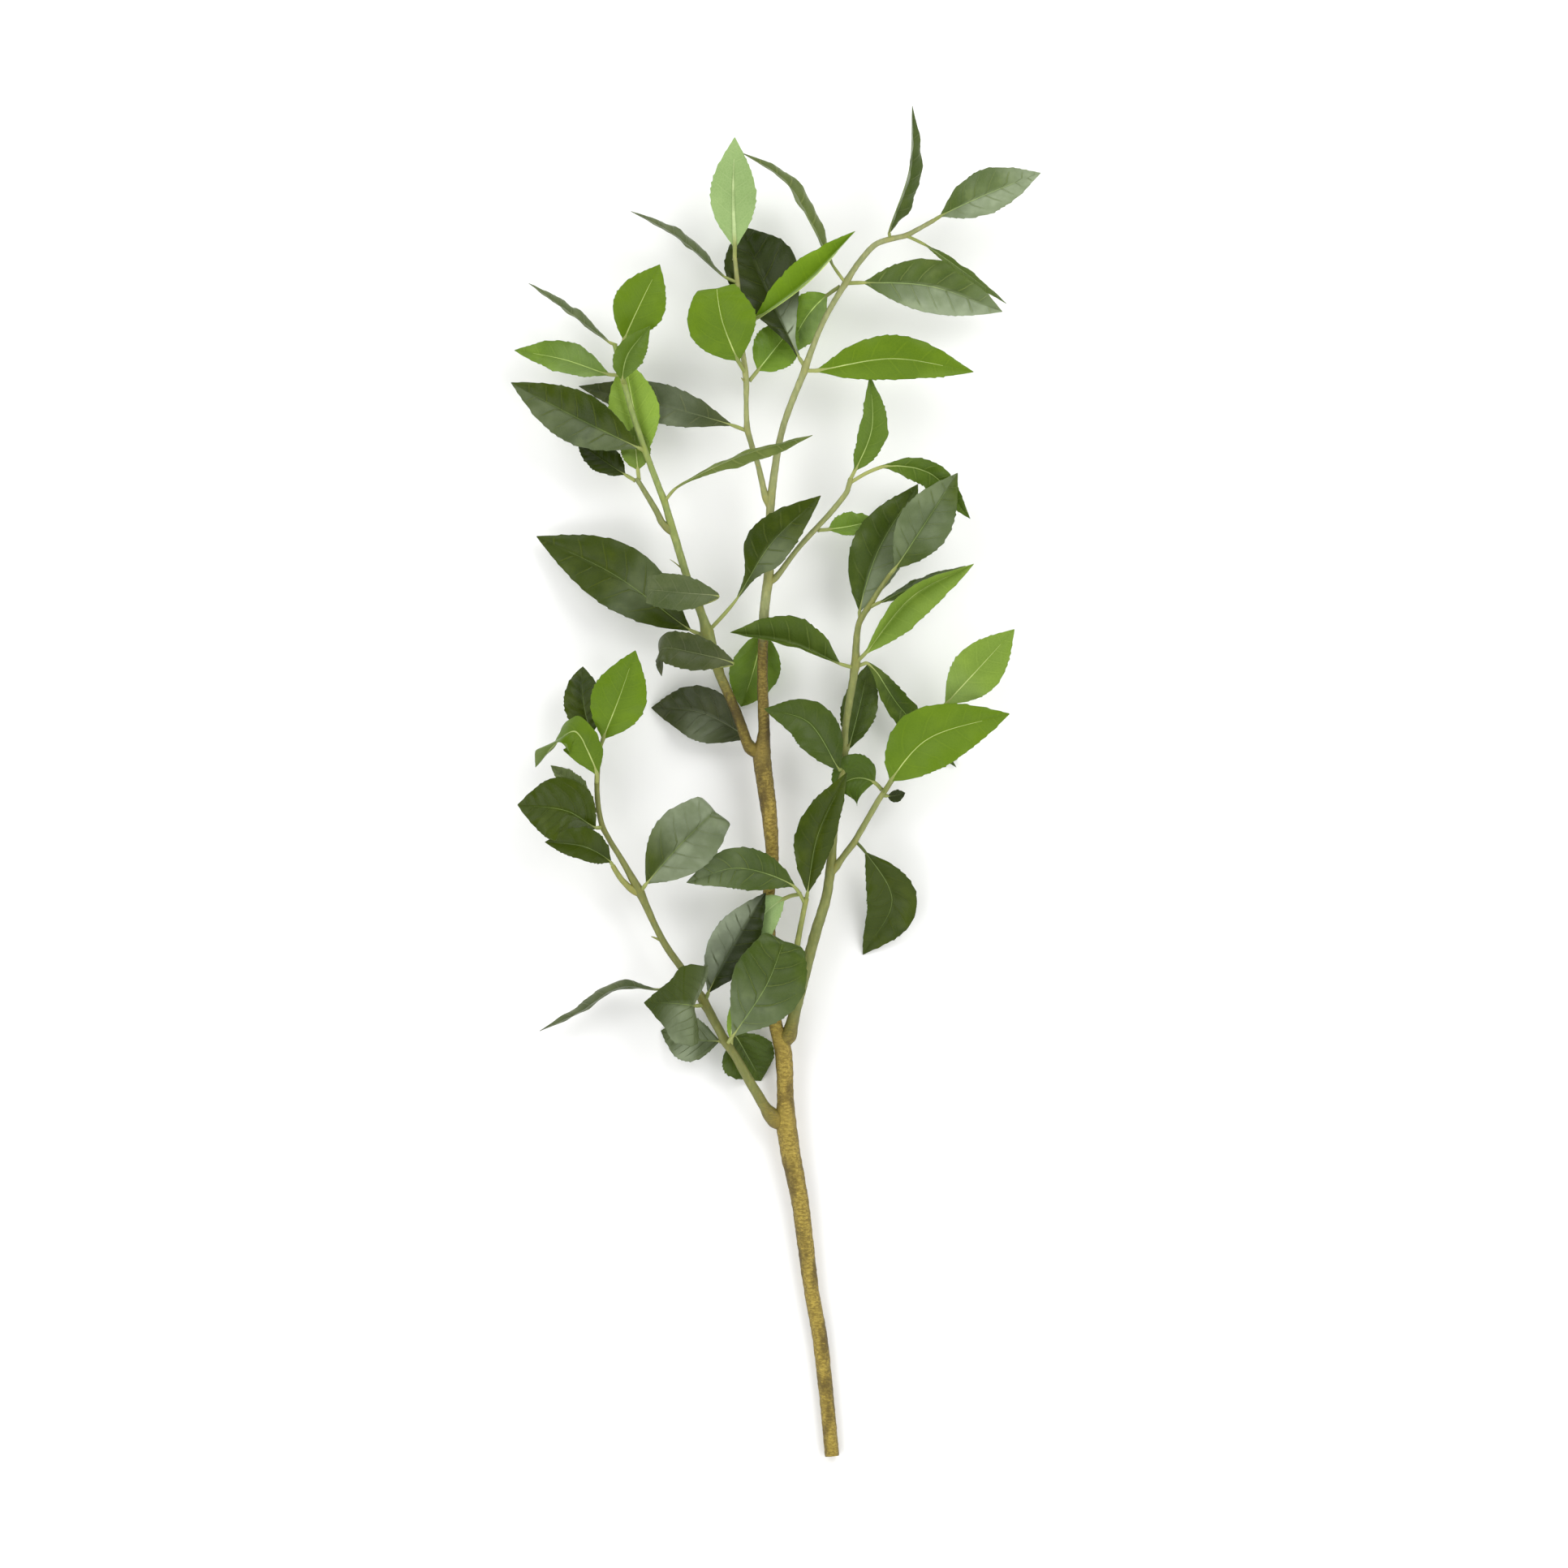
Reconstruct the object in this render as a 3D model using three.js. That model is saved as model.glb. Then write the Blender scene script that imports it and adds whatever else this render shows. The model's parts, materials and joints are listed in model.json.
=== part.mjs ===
// A bay laurel branch, cut and laid flat on a table: one woody main stem, nine side branches
// and twigs, and fifty leaves, each a piece of its own.
// Millimetres.  +Z is up and z = 0 is the table; +Y runs from the cut end towards the shoots.
import * as THREE from 'three';

// Driving dimensions
const contactGap = 0.3;        // clear space between a piece and the stem that carries it
const stemSides = 8;
const ringsPerSpan = 2;        // rings along a stem for each span between two path points
const petioleRadius = 1.1;     // half the width of a leaf stalk
const petioleRings = 2;        // rings of the stalk below the blade
const bladeSteps = 11;         // steps along the midrib of a blade
const ribAbove = 0.3;          // midrib: how far it stands above and below the line of the leaf
const ribBelow = 0.6;
const usualWidest = 0.9;       // below 1 moves the widest place of a blade towards its stalk
const usualFold = 8;           // degrees that each half of a blade rises from the midrib
const nearestSamples = 400;
const samplesPerSpan = 40;      // for measuring along a midrib

const finishes = {
  bark: { color: 0x8c7836, roughness: 0.8 },
  green: { color: 0x7f8f4a, roughness: 0.6 },
  darkLeaf: { color: 0x3f5a2a, roughness: 0.35 },
  greenLeaf: { color: 0x4f7a2e, roughness: 0.4 },
  brightLeaf: { color: 0x6d9a2a, roughness: 0.4 },
  paleLeaf: { color: 0x93b873, roughness: 0.55 },
};

// Every stem: path points from its foot to its tip, as [x, y, z, radius].
// A side stem starts on the surface of the stem named in from.
const stems = [
  { name: 'main_stem', tone: 'bark', path: [
    [35, -416, 4.5, 4.4], [28, -347, 5.5, 4.7], [22, -312, 7, 4.7], [15, -257, 9.5, 5.4],
    [10, -232, 11, 6], [7, -212, 12.5, 6.1], [6, -192, 13.5, 5.1], [5, -167, 15, 5.4],
    [0, -148, 16, 4], [-3, -107, 18.5, 3.7], [-4, -67, 20.5, 3.7], [-2, -46, 21.5, 3.9],
    [-5, -9, 24, 5.2], [-8, 14, 26, 5.4], [-7, 33, 27.5, 3.6], [-8, 63, 29, 3.3],
    [-7, 104, 31.5, 3], [-4, 133, 33.5, 2.9], [-3, 170, 35.5, 2.6], [4, 217, 38, 2],
    [17, 252, 40, 2.1], [28, 281, 41, 1.7], [42, 306, 42, 1.9], [61, 331, 43, 1.8],
    [80, 337, 43.5, 1.6], [97, 346, 44, 1.3],
  ] },
  { name: 'left_branch', tone: 'bark', from: 'main_stem', root: [-8, 15], path: [
    [-17, 24, 27, 3.4], [-25, 46, 28, 3.1], [-35, 69, 29, 3], [-41, 89, 30, 3.9],
    [-45, 103, 30.5, 2.7], [-54, 126, 31.5, 2.4], [-62, 152, 32.5, 2.4],
    [-68, 172, 33, 2.1], [-78, 199, 34, 1.9], [-88, 228, 35, 1.8], [-94, 250, 35.5, 1.7],
    [-99, 270, 36, 1.3],
  ] },
  { name: 'left_fork_twig', tone: 'green', from: 'left_branch', root: [-63, 153], path: [
    [-70, 161, 32.5, 2.1], [-74, 169, 32.5, 1.9], [-85, 187, 33, 1.5],
  ] },
  { name: 'upper_left_twig', tone: 'green', from: 'main_stem', root: [-3, 168], path: [
    [-7, 180, 36, 2], [-11, 197, 36.5, 1.7], [-17, 217, 37.5, 1.8], [-18, 234, 38, 1.5],
    [-18, 248, 38.5, 1.9], [-21, 273, 39.5, 1.5], [-23, 304, 41, 1.5], [-25, 323, 42, 1.3],
  ] },
  { name: 'middle_right_twig', tone: 'green', from: 'main_stem', root: [-4, 122], path: [
    [2, 129, 34, 1.8], [14, 145, 35, 1.6], [23, 155, 36, 1.7], [43, 178, 38, 1.7],
    [46, 187, 39, 1.5],
  ] },
  { name: 'right_branch', tone: 'green', from: 'main_stem', root: [6, -163], path: [
    [9, -153, 17, 3.8], [15, -129, 19, 3.5], [25, -91, 21.5, 3.4], [32, -67, 23, 3.1],
    [36, -28, 25.5, 2.6], [42, 12, 27.5, 2.4], [43, 34, 29, 2.2], [49, 72, 31, 2.5],
    [51, 97, 32.5, 1.9], [58, 110, 33.5, 1.8], [70, 128, 35, 1.4],
  ] },
  { name: 'right_side_twig', tone: 'green', from: 'right_branch', root: [33, -58], path: [
    [38, -50, 24.5, 2.1], [49, -35, 26, 1.9], [63, -11, 29, 1.8], [69, -2, 29.5, 1.6],
    [83, 19, 29.5, 1.5], [97, 39, 31, 1.2],
  ] },
  { name: 'centre_twig', tone: 'green', from: 'main_stem', root: [3, -146], path: [
    [10, -123, 20.5, 2], [14, -96, 23, 1.8], [19, -71, 27, 1.5],
  ] },
  { name: 'lower_left_branch', tone: 'green', from: 'main_stem', root: [6, -215], path: [
    [-5, -202, 14.5, 3.4], [-17, -182, 16.5, 3], [-25, -168, 18, 2.7], [-31, -159, 19, 2.7],
    [-44, -135, 21, 2.8], [-57, -115, 23, 2.3], [-67, -101, 24, 2.2], [-75, -86, 25, 2.1],
    [-84, -66, 26, 2.6], [-96, -45, 27, 1.8], [-107, -25, 28, 1.7], [-110, 0, 29, 1.6],
    [-108, 22, 30, 1.3],
  ] },
  { name: 'lower_left_fork_twig', tone: 'green', from: 'lower_left_branch', root: [-84, -70], path: [
    [-90, -64, 26.5, 1.9], [-95, -59, 27.5, 1.8], [-100, -51, 29, 1.5],
  ] },
];

// Every leaf: the stem it grows on, its full width, and the line of its midrib from the foot
// of the blade to the tip.  Turns are in degrees: roll lifts the left edge (seen from the stalk),
// fold is the rise of each half, aim is the heading in plan where the blade doubles back.
// widest moves the widest place of a blade, towards the tip where it is larger.
// The stalk leaves the stem at the point nearest to root, or past its end.
const leaves = [
  { name: 'crown_leaf_1', stem: 'main_stem', width: 21, roll: 70, fold: 15, tone: 'dark',
    blade: [[70, 339, 46], [82, 376, 52], [84, 416, 54]] },
  { name: 'crown_leaf_2', stem: 'main_stem', root: 'end', width: 29, roll: -20, tone: 'dark',
    blade: [[102, 349, 45], [130, 362, 49], [163, 375, 50]] },
  { name: 'crown_leaf_3', stem: 'main_stem', root: [80, 337], width: 20, roll: 66, tone: 'green',
    blade: [[92, 331, 46], [114, 316, 48], [142, 295, 44]] },
  { name: 'crown_leaf_4', stem: 'main_stem', root: [44, 308], width: 33, tone: 'dark',
    blade: [[55, 308, 42], [95, 306, 38], [140, 291, 24]] },
  { name: 'crown_leaf_5', stem: 'main_stem', root: [43, 307], width: 21, roll: 68, tone: 'green',
    blade: [[35, 319, 43], [22, 344, 44], [6, 370, 44], [-21, 388, 42]] },
  { name: 'crown_leaf_6', stem: 'main_stem', root: [18, 255], width: 46, roll: 10, fold: 15, widest: 1.45, tone: 'dark',
    blade: [[14, 263, 40], [-6, 307, 30], [-21, 344, 16]] },
  { name: 'crown_leaf_7', stem: 'main_stem', root: [18, 253], width: 28, roll: -10, tone: 'bright',
    blade: [[26, 254, 42], [72, 261, 47], [122, 253, 44]] },
  { name: 'upper_leaf_1', stem: 'upper_left_twig', root: [-22, 282], width: 26, roll: -40, fold: 45, tone: 'bright',
    blade: [[-12, 286, 47], [20, 308, 54], [49, 339, 56]] },
  { name: 'upper_leaf_2', stem: 'upper_left_twig', root: 'end', width: 28, roll: 180, tone: 'pale',
    blade: [[-25, 330, 44], [-26, 363, 48], [-25, 397, 50]] },
  { name: 'upper_leaf_3', stem: 'upper_left_twig', root: [-23, 308], width: 17, roll: 70, tone: 'dark',
    blade: [[-32, 312, 42], [-61, 336, 43], [-89, 352, 41]] },
  { name: 'upper_leaf_4', stem: 'upper_left_twig', root: [-19, 252], width: 42, aim: 98, fold: 3, tone: 'bright',
    blade: [[-23, 260, 46], [-33, 285, 54], [-36, 304, 57], [-35, 301, 52], [-34, 296, 49]] },
  { name: 'upper_leaf_5', stem: 'upper_left_twig', root: [-17, 217], width: 25, roll: 10, tone: 'dark',
    blade: [[-28, 221, 36], [-72, 234, 20], [-122, 246, 1.5]] },
  { name: 'left_leaf_1', stem: 'left_branch', root: [-97, 260], width: 32, tone: 'bright',
    blade: [[-93, 273, 39], [-83, 295, 44], [-71, 319, 47]] },
  { name: 'left_leaf_2', stem: 'left_branch', root: [-93, 246], width: 20, roll: 15, fold: 25, tone: 'green',
    blade: [[-94, 249, 42], [-91, 263, 49], [-77, 281, 53]] },
  { name: 'left_leaf_3', stem: 'left_branch', root: 'end', width: 15, roll: 68, tone: 'dark',
    blade: [[-103, 272, 37], [-126, 289, 38], [-152, 308, 36]] },
  { name: 'left_leaf_4', stem: 'left_branch', root: [-95, 251], width: 23, roll: 30, tone: 'green',
    blade: [[-103, 252, 33], [-130, 261, 31], [-161, 267, 29]] },
  { name: 'left_leaf_5', stem: 'left_branch', root: [-80, 205], width: 32, tone: 'dark',
    blade: [[-85, 207, 38], [-122, 225, 38], [-163, 247, 34]] },
  { name: 'left_leaf_6', stem: 'left_branch', root: [-78, 199], width: 31, tone: 'bright',
    blade: [[-80, 203, 30], [-87, 230, 27], [-93, 263, 28]] },
  { name: 'left_leaf_7', stem: 'left_branch', root: [-68, 174], width: 17, roll: 66, widest: 1.25, tone: 'green',
    blade: [[-61, 182, 37], [-25, 200, 46], [23, 214, 50]] },
  { name: 'left_leaf_8', stem: 'left_branch', root: [-41, 90], width: 40, roll: 5, tone: 'dark',
    blade: [[-53, 95, 28], [-98, 128, 19], [-148, 153, 8]] },
  { name: 'left_leaf_9', stem: 'left_branch', root: [-47, 110], width: 22, aim: 176, fold: 3, tone: 'green',
    blade: [[-35, 115, 42], [-55, 117, 47], [-78, 119, 47], [-76, 118, 40], [-67, 116, 37]] },
  { name: 'left_leaf_10', stem: 'left_branch', root: [-41, 93], width: 29, roll: -15, tone: 'dark',
    blade: [[-25, 112, 39], [-3, 147, 44], [28, 177, 48]] },
  { name: 'left_leaf_11', stem: 'left_branch', root: [-36, 72], width: 22, fold: 3, aim: 172, tone: 'dark',
    blade: [[-26, 74, 40], [-48, 80, 44], [-70, 83, 45], [-71, 77, 39], [-70, 66, 35]] },
  { name: 'middle_leaf_1', stem: 'main_stem', root: [-10, 18], width: 34, roll: -10, tone: 'dark',
    blade: [[-17, 28, 18], [-46, 44, 12], [-77, 47, 1.5]] },
  { name: 'middle_leaf_2', stem: 'middle_right_twig', root: 'end', width: 20, roll: 30, widest: 0.75, tone: 'bright',
    blade: [[49, 193, 41], [59, 218, 45], [58, 251, 48]] },
  { name: 'middle_leaf_3', stem: 'middle_right_twig', root: [46, 185], width: 17, roll: 20, tone: 'green',
    blade: [[66, 195, 38], [95, 191, 37], [120, 163, 33]] },
  { name: 'right_leaf_1', stem: 'right_branch', root: [48, 71], width: 31, roll: 35, fold: 45, tone: 'green',
    blade: [[39, 74, 36], [10, 86, 39], [-28, 93, 39]] },
  { name: 'right_leaf_2', stem: 'right_branch', root: [42, 8], width: 28, tone: 'green',
    blade: [[39, 9, 33], [20, 38, 38], [-7, 46, 39]] },
  { name: 'right_leaf_3', stem: 'right_branch', root: [43, 18], width: 22, tone: 'dark',
    blade: [[45, 22, 22], [52, 48, 17], [58, 75, 12]] },
  { name: 'right_leaf_4', stem: 'right_branch', root: [49, 74], width: 28, roll: 25, fold: 40, tone: 'bright',
    blade: [[56, 81, 37], [84, 115, 45], [122, 135, 49]] },
  { name: 'right_leaf_5', stem: 'right_branch', root: [57, 108], width: 16, roll: 55, tone: 'green',
    blade: [[65, 112, 36], [90, 124, 38], [117, 134, 39]] },
  { name: 'right_leaf_6', stem: 'right_branch', root: [49, 72], width: 16, tone: 'dark',
    blade: [[57, 74, 28], [77, 47, 16], [112, 10, 1.5]] },
  { name: 'right_leaf_7', stem: 'right_branch', root: [52, 100], width: 34, tone: 'dark',
    blade: [[52, 107, 28], [63, 143, 24], [88, 185, 18]] },
  { name: 'right_leaf_8', stem: 'right_branch', root: 'end', width: 32, tone: 'dark',
    blade: [[74, 133, 38], [92, 160, 43], [112, 191, 45]] },
  { name: 'side_leaf_1', stem: 'right_side_twig', root: 'end', width: 30, tone: 'pale',
    blade: [[105, 49, 33], [127, 73, 37], [147, 95, 41]] },
  { name: 'side_leaf_2', stem: 'right_side_twig', root: [66, -6], width: 40, widest: 0.8, tone: 'bright',
    blade: [[71, 2, 38], [93, 27, 45], [144, 43, 45]] },
  { name: 'side_leaf_3', stem: 'right_side_twig', root: [49, -35], width: 31, tone: 'dark',
    blade: [[56, -43, 24], [72, -72, 12], [54, -106, 0.5]] },
  { name: 'centre_leaf_1', stem: 'centre_twig', root: 'end', width: 26, roll: -15, fold: 20, tone: 'dark',
    blade: [[20, -66, 33], [26, -32, 40], [44, 7, 44]] },
  { name: 'centre_leaf_2', stem: 'centre_twig', root: [19, -74], width: 26, tone: 'green',
    blade: [[11, -63, 33], [-23, -52, 36], [-55, -61, 32]] },
  { name: 'low_leaf_1', stem: 'lower_left_branch', root: [-44, -135], width: 29, tone: 'dark',
    blade: [[-41, -128, 25], [-24, -95, 29], [-6, -67, 30]] },
  { name: 'low_leaf_2', stem: 'lower_left_branch', root: [-30, -161], width: 45, aim: 66, fold: 4, widest: 1.05, tone: 'dark',
    blade: [[-26, -155, 32], [-5, -123, 43], [5, -97, 47], [5, -98, 41], [3, -105, 37]] },
  { name: 'low_leaf_3', stem: 'lower_left_branch', root: [-30, -161], width: 34, tone: 'dark',
    blade: [[-26, -155, 13], [-17, -169, 7], [-9, -184, 0.5]] },
  { name: 'low_leaf_4', stem: 'lower_left_branch', root: [-31, -159], width: 28, tone: 'dark',
    blade: [[-35, -159, 17], [-52, -158, 9], [-71, -153, 0.5]] },
  { name: 'low_leaf_5', stem: 'lower_left_branch', root: [-43, -137], width: 50, aim: 172, widest: 0.65, tone: 'green',
    blade: [[-50, -137, 27], [-53, -136, 43], [-65, -135, 40], [-81, -135, 31]] },
  { name: 'low_leaf_6', stem: 'lower_left_branch', root: [-54, -121], width: 17, roll: 70, tone: 'dark',
    blade: [[-72, -127, 21], [-96, -126, 19], [-120, -141, 15], [-146, -153, 11]] },
  { name: 'low_leaf_7', stem: 'lower_left_branch', root: 'end', width: 34, tone: 'bright',
    blade: [[-106, 28, 33], [-96, 53, 40], [-86, 82, 44]] },
  { name: 'low_leaf_8', stem: 'lower_left_branch', root: [-110, -1], width: 28, aim: 133, fold: 3, tone: 'bright',
    blade: [[-110, 6, 34], [-115, 19, 39], [-123, 32, 42], [-134, 26, 37], [-148, 10, 27]] },
  { name: 'low_leaf_9', stem: 'lower_left_branch', root: [-106, -27], width: 40, tone: 'dark',
    blade: [[-111, -27, 31], [-128, -17, 33], [-159, -13, 30]] },
  { name: 'low_leaf_10', stem: 'lower_left_branch', root: [-84, -67], width: 40, aim: 46, fold: 4, tone: 'dark',
    blade: [[-79, -61, 31], [-58, -37, 38], [-37, -17, 41], [-38, -19, 34], [-45, -26, 30]] },
  { name: 'low_leaf_11', stem: 'lower_left_fork_twig', root: 'end', width: 22, roll: 20, fold: 20, tone: 'green',
    blade: [[-102, -48, 31], [-117, -39, 40], [-142, -36, 36]] },
];

const toRadians = THREE.MathUtils.degToRad;

// A closed body from a list of rings with equally many points, each ring counter-clockwise
// seen from its far side, with a flat cap at the foot and a cap or point at the far end.
function loft(rings, farPoint) {
  const sides = rings[0].length;
  const centreOf = (ring) => ring.reduce((sum, p) => sum.add(p), new THREE.Vector3())
    .divideScalar(sides);
  const points = rings.flat();
  const foot = points.push(centreOf(rings[0])) - 1;
  const far = points.push(farPoint ?? centreOf(rings.at(-1))) - 1;
  const last = (rings.length - 1) * sides;
  const faces = [];
  for (let side = 0; side < sides; side += 1) {
    const next = (side + 1) % sides;
    faces.push(foot, next, side);
    faces.push(far, last + side, last + next);
    for (let low = 0; low < last; low += sides) {
      const high = low + sides;
      faces.push(low + side, low + next, high + next);
      faces.push(low + side, high + next, high + side);
    }
  }
  const geometry = new THREE.BufferGeometry();
  geometry.setAttribute('position', new THREE.Float32BufferAttribute(
    points.flatMap((p) => p.toArray()), 3));
  geometry.setIndex(faces);
  geometry.computeVertexNormals();
  return geometry;
}

// The smooth centre line of a stem, with its radius carried linearly between the points.
class StemLine {
  constructor(path) {
    this.curve = new THREE.CatmullRomCurve3(
      path.map(([x, y, z]) => new THREE.Vector3(x, y, z)), false, 'centripetal');
    this.radii = path.map((point) => point[3]);
    this.spans = path.length - 1;
  }

  pointAt(t) {
    return this.curve.getPoint(t);
  }

  directionAt(t) {
    return this.curve.getTangent(t);
  }

  radiusAt(t) {
    const place = THREE.MathUtils.clamp(t, 0, 1) * this.spans;
    const low = Math.min(Math.floor(place), this.spans - 1);
    return THREE.MathUtils.lerp(this.radii[low], this.radii[low + 1], place - low);
  }

  // Where along the line it passes nearest to a point in plan.
  nearestTo([x, y]) {
    let best = 0;
    let bestDistance = Infinity;
    for (let i = 0; i <= nearestSamples; i += 1) {
      const point = this.pointAt(i / nearestSamples);
      const distance = Math.hypot(point.x - x, point.y - y);
      if (distance < bestDistance) {
        best = i / nearestSamples;
        bestDistance = distance;
      }
    }
    return best;
  }

  // The flat seat on the stem's surface for a piece that heads for a point: its centre,
  // its normal and the direction of the piece.
  seatFor(root, target) {
    if (root === 'end') {
      const normal = this.directionAt(1);
      const centre = this.pointAt(1).addScaledVector(normal, contactGap);
      const direction = target.clone().sub(centre).normalize();
      return { centre, normal, direction };
    }
    const t = this.nearestTo(root);
    const halfSpan = 0.5 / this.spans;
    const axis = this.directionAt(t);
    const onAxis = this.pointAt(t);
    const direction = target.clone().sub(onAxis).normalize();
    const normal = direction.clone().addScaledVector(axis, -direction.dot(axis)).normalize();
    const around = [t - halfSpan, t, t + halfSpan].map((place) => this.radiusAt(place));
    const standOff = (Math.max(...around) + contactGap) / direction.dot(normal);
    const centre = onAxis.addScaledVector(direction, standOff);
    return { centre, normal, direction };
  }
}

// Slides the points of a ring along its direction onto the plane of the seat.
function layOnSeat(ring, seat) {
  return ring.map((point) => {
    const height = point.clone().sub(seat.centre).dot(seat.normal);
    return point.clone().addScaledVector(seat.direction, -height / seat.direction.dot(seat.normal));
  });
}

// A round ring about a point of a stem, its first corner turned up as far as it can be.
function stemRing(centre, direction, radius) {
  const side = new THREE.Vector3(0, 0, 1).cross(direction).normalize();
  const up = direction.clone().cross(side);
  const ring = [];
  for (let i = 0; i < stemSides; i += 1) {
    const turn = (i / stemSides) * Math.PI * 2;
    ring.push(centre.clone()
      .addScaledVector(side, radius * Math.cos(turn))
      .addScaledVector(up, radius * Math.sin(turn)));
  }
  return ring;
}

function stemGeometry(path, seat) {
  const line = new StemLine(path);
  const steps = line.spans * ringsPerSpan;
  const rings = [];
  for (let i = 0; i <= steps; i += 1) {
    const t = i / steps;
    rings.push(stemRing(line.pointAt(t), line.directionAt(t), line.radiusAt(t)));
  }
  if (seat) {
    rings.unshift(layOnSeat(stemRing(seat.centre, seat.direction, path[0][3]), seat));
  }
  return loft(rings);
}

// Half the width of a blade at a share of its length, as a share of its greatest half width.
function outlineAt(share, widest = usualWidest) {
  return Math.sin(Math.PI * share ** widest);
}

// A section of a leaf: left edge, top of the midrib, right edge, keel under the midrib.
function leafRing(centre, direction, leftward, half, fold) {
  const left = leftward.clone().addScaledVector(direction, -leftward.dot(direction)).normalize();
  const up = direction.clone().cross(left);
  const rise = half * Math.sin(fold);
  const reach = half * Math.cos(fold);
  return [
    centre.clone().addScaledVector(left, reach).addScaledVector(up, rise),
    centre.clone().addScaledVector(up, ribAbove),
    centre.clone().addScaledVector(left, -reach).addScaledVector(up, rise),
    centre.clone().addScaledVector(up, -ribBelow),
  ];
}

function leafGeometry(leaf, seat) {
  const blade = leaf.blade.map((point) => new THREE.Vector3(...point));
  const midrib = new THREE.CatmullRomCurve3([seat.centre, ...blade], false, 'centripetal');
  const foot = blade[0];
  const tip = blade.at(-1);
  const heading = leaf.aim === undefined
    ? Math.atan2(tip.y - foot.y, tip.x - foot.x)
    : toRadians(leaf.aim);
  const roll = toRadians(leaf.roll ?? 0);
  const fold = toRadians(leaf.fold ?? usualFold);
  const leftward = new THREE.Vector3(
    -Math.sin(heading) * Math.cos(roll), Math.cos(heading) * Math.cos(roll), Math.sin(roll));
  const lengths = midrib.getLengths(blade.length * samplesPerSpan);
  const footShare = lengths[samplesPerSpan] / lengths.at(-1);
  const rings = [];
  for (let i = 0; i < petioleRings; i += 1) {
    const t = (i / petioleRings) * footShare;
    const ring = leafRing(midrib.getPointAt(t), midrib.getTangentAt(t), leftward, petioleRadius, 0);
    rings.push(i === 0 ? layOnSeat(ring, seat) : ring);
  }
  for (let i = 0; i < bladeSteps; i += 1) {
    const share = i / bladeSteps;
    const t = footShare + share * (1 - footShare);
    const half = Math.max(petioleRadius, outlineAt(share, leaf.widest) * leaf.width / 2);
    rings.push(leafRing(midrib.getPointAt(t), midrib.getTangentAt(t), leftward, half, fold));
  }
  return loft(rings, tip);
}

function piece(name, geometry, finish) {
  const mesh = new THREE.Mesh(geometry, new THREE.MeshStandardMaterial({
    ...finish, metalness: 0,
  }));
  mesh.name = name;
  return mesh;
}

const branch = new THREE.Group();
const lines = {};

for (const stem of stems) {
  const foot = new THREE.Vector3(...stem.path[0]);
  const seat = stem.from && lines[stem.from].seatFor(stem.root, foot);
  lines[stem.name] = new StemLine(stem.path);
  branch.add(piece(stem.name, stemGeometry(stem.path, seat), finishes[stem.tone]));
}

for (const leaf of leaves) {
  const foot = new THREE.Vector3(...leaf.blade[0]);
  const seat = lines[leaf.stem].seatFor(leaf.root ?? leaf.blade[0], foot);
  branch.add(piece(leaf.name, leafGeometry(leaf, seat), finishes[`${leaf.tone}Leaf`]));
}

// The origin is the middle of the branch in plan, on the table.
const box = new THREE.Box3().setFromObject(branch);
const middle = box.getCenter(new THREE.Vector3());
branch.position.set(-middle.x, -middle.y, -box.min.z);
branch.updateMatrixWorld(true);

export default branch;
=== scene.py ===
import json
import math

import bpy
import numpy as np
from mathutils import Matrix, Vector


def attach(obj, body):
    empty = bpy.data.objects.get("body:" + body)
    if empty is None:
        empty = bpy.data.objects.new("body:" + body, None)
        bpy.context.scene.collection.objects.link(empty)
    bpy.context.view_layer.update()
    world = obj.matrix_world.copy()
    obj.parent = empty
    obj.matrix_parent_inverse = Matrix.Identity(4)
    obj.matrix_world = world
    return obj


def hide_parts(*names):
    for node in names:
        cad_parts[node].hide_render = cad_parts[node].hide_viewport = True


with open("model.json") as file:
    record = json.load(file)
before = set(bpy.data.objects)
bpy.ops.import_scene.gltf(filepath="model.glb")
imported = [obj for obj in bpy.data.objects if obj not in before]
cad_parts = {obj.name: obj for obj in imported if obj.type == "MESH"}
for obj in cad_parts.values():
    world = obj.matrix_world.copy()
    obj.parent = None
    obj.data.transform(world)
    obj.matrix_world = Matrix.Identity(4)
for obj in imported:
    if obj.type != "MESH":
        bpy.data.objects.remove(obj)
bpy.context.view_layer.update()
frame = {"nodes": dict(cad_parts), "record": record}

mm = 0.001
fullTurn = 2 * math.pi
skyward = [0.0, 0.0, 1.0]


def unit(vectors):
    return vectors / np.maximum(np.linalg.norm(vectors, axis=-1, keepdims=True), 1e-12)


def ripple(points, seed, waves=7):
    # smooth unevenness from -1 to 1: the mean of a few sine waves that run in seeded directions
    dice = np.random.default_rng(seed)
    runs = unit(dice.normal(size=(waves, points.shape[-1]))) * dice.uniform(0.6, 1.7, (waves, 1))
    shifts = dice.uniform(0, fullTurn, waves)
    return np.sin(points @ runs.T * 2 * math.pi + shifts).mean(axis=-1) * 1.6


def addObject(name, data):
    thing = bpy.data.objects.new(name, data)
    bpy.context.scene.collection.objects.link(thing)
    return thing


def smoothStep(low, high, x):
    t = np.clip((x - low) / (high - low), 0, 1)
    return t * t * (3 - 2 * t)


def alongKnots(knots, at):
    # Catmull-Rom: each span leaves a knot in the direction from the knot before it to the knot after it
    last = len(knots) - 1
    padded = np.concatenate([[2 * knots[0] - knots[1]], knots, [2 * knots[-1] - knots[-2]]])
    span = np.clip(np.floor(at).astype(int), 0, last - 1)
    t = (at - span).reshape((-1,) + (1,) * (knots.ndim - 1))
    a, b, c, d = (padded[span + k] for k in range(4))
    return 0.5 * (2 * b + (c - a) * t + (2 * a - 5 * b + 4 * c - d) * t**2 + (3 * b - a - 3 * c + d) * t**3)


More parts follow.
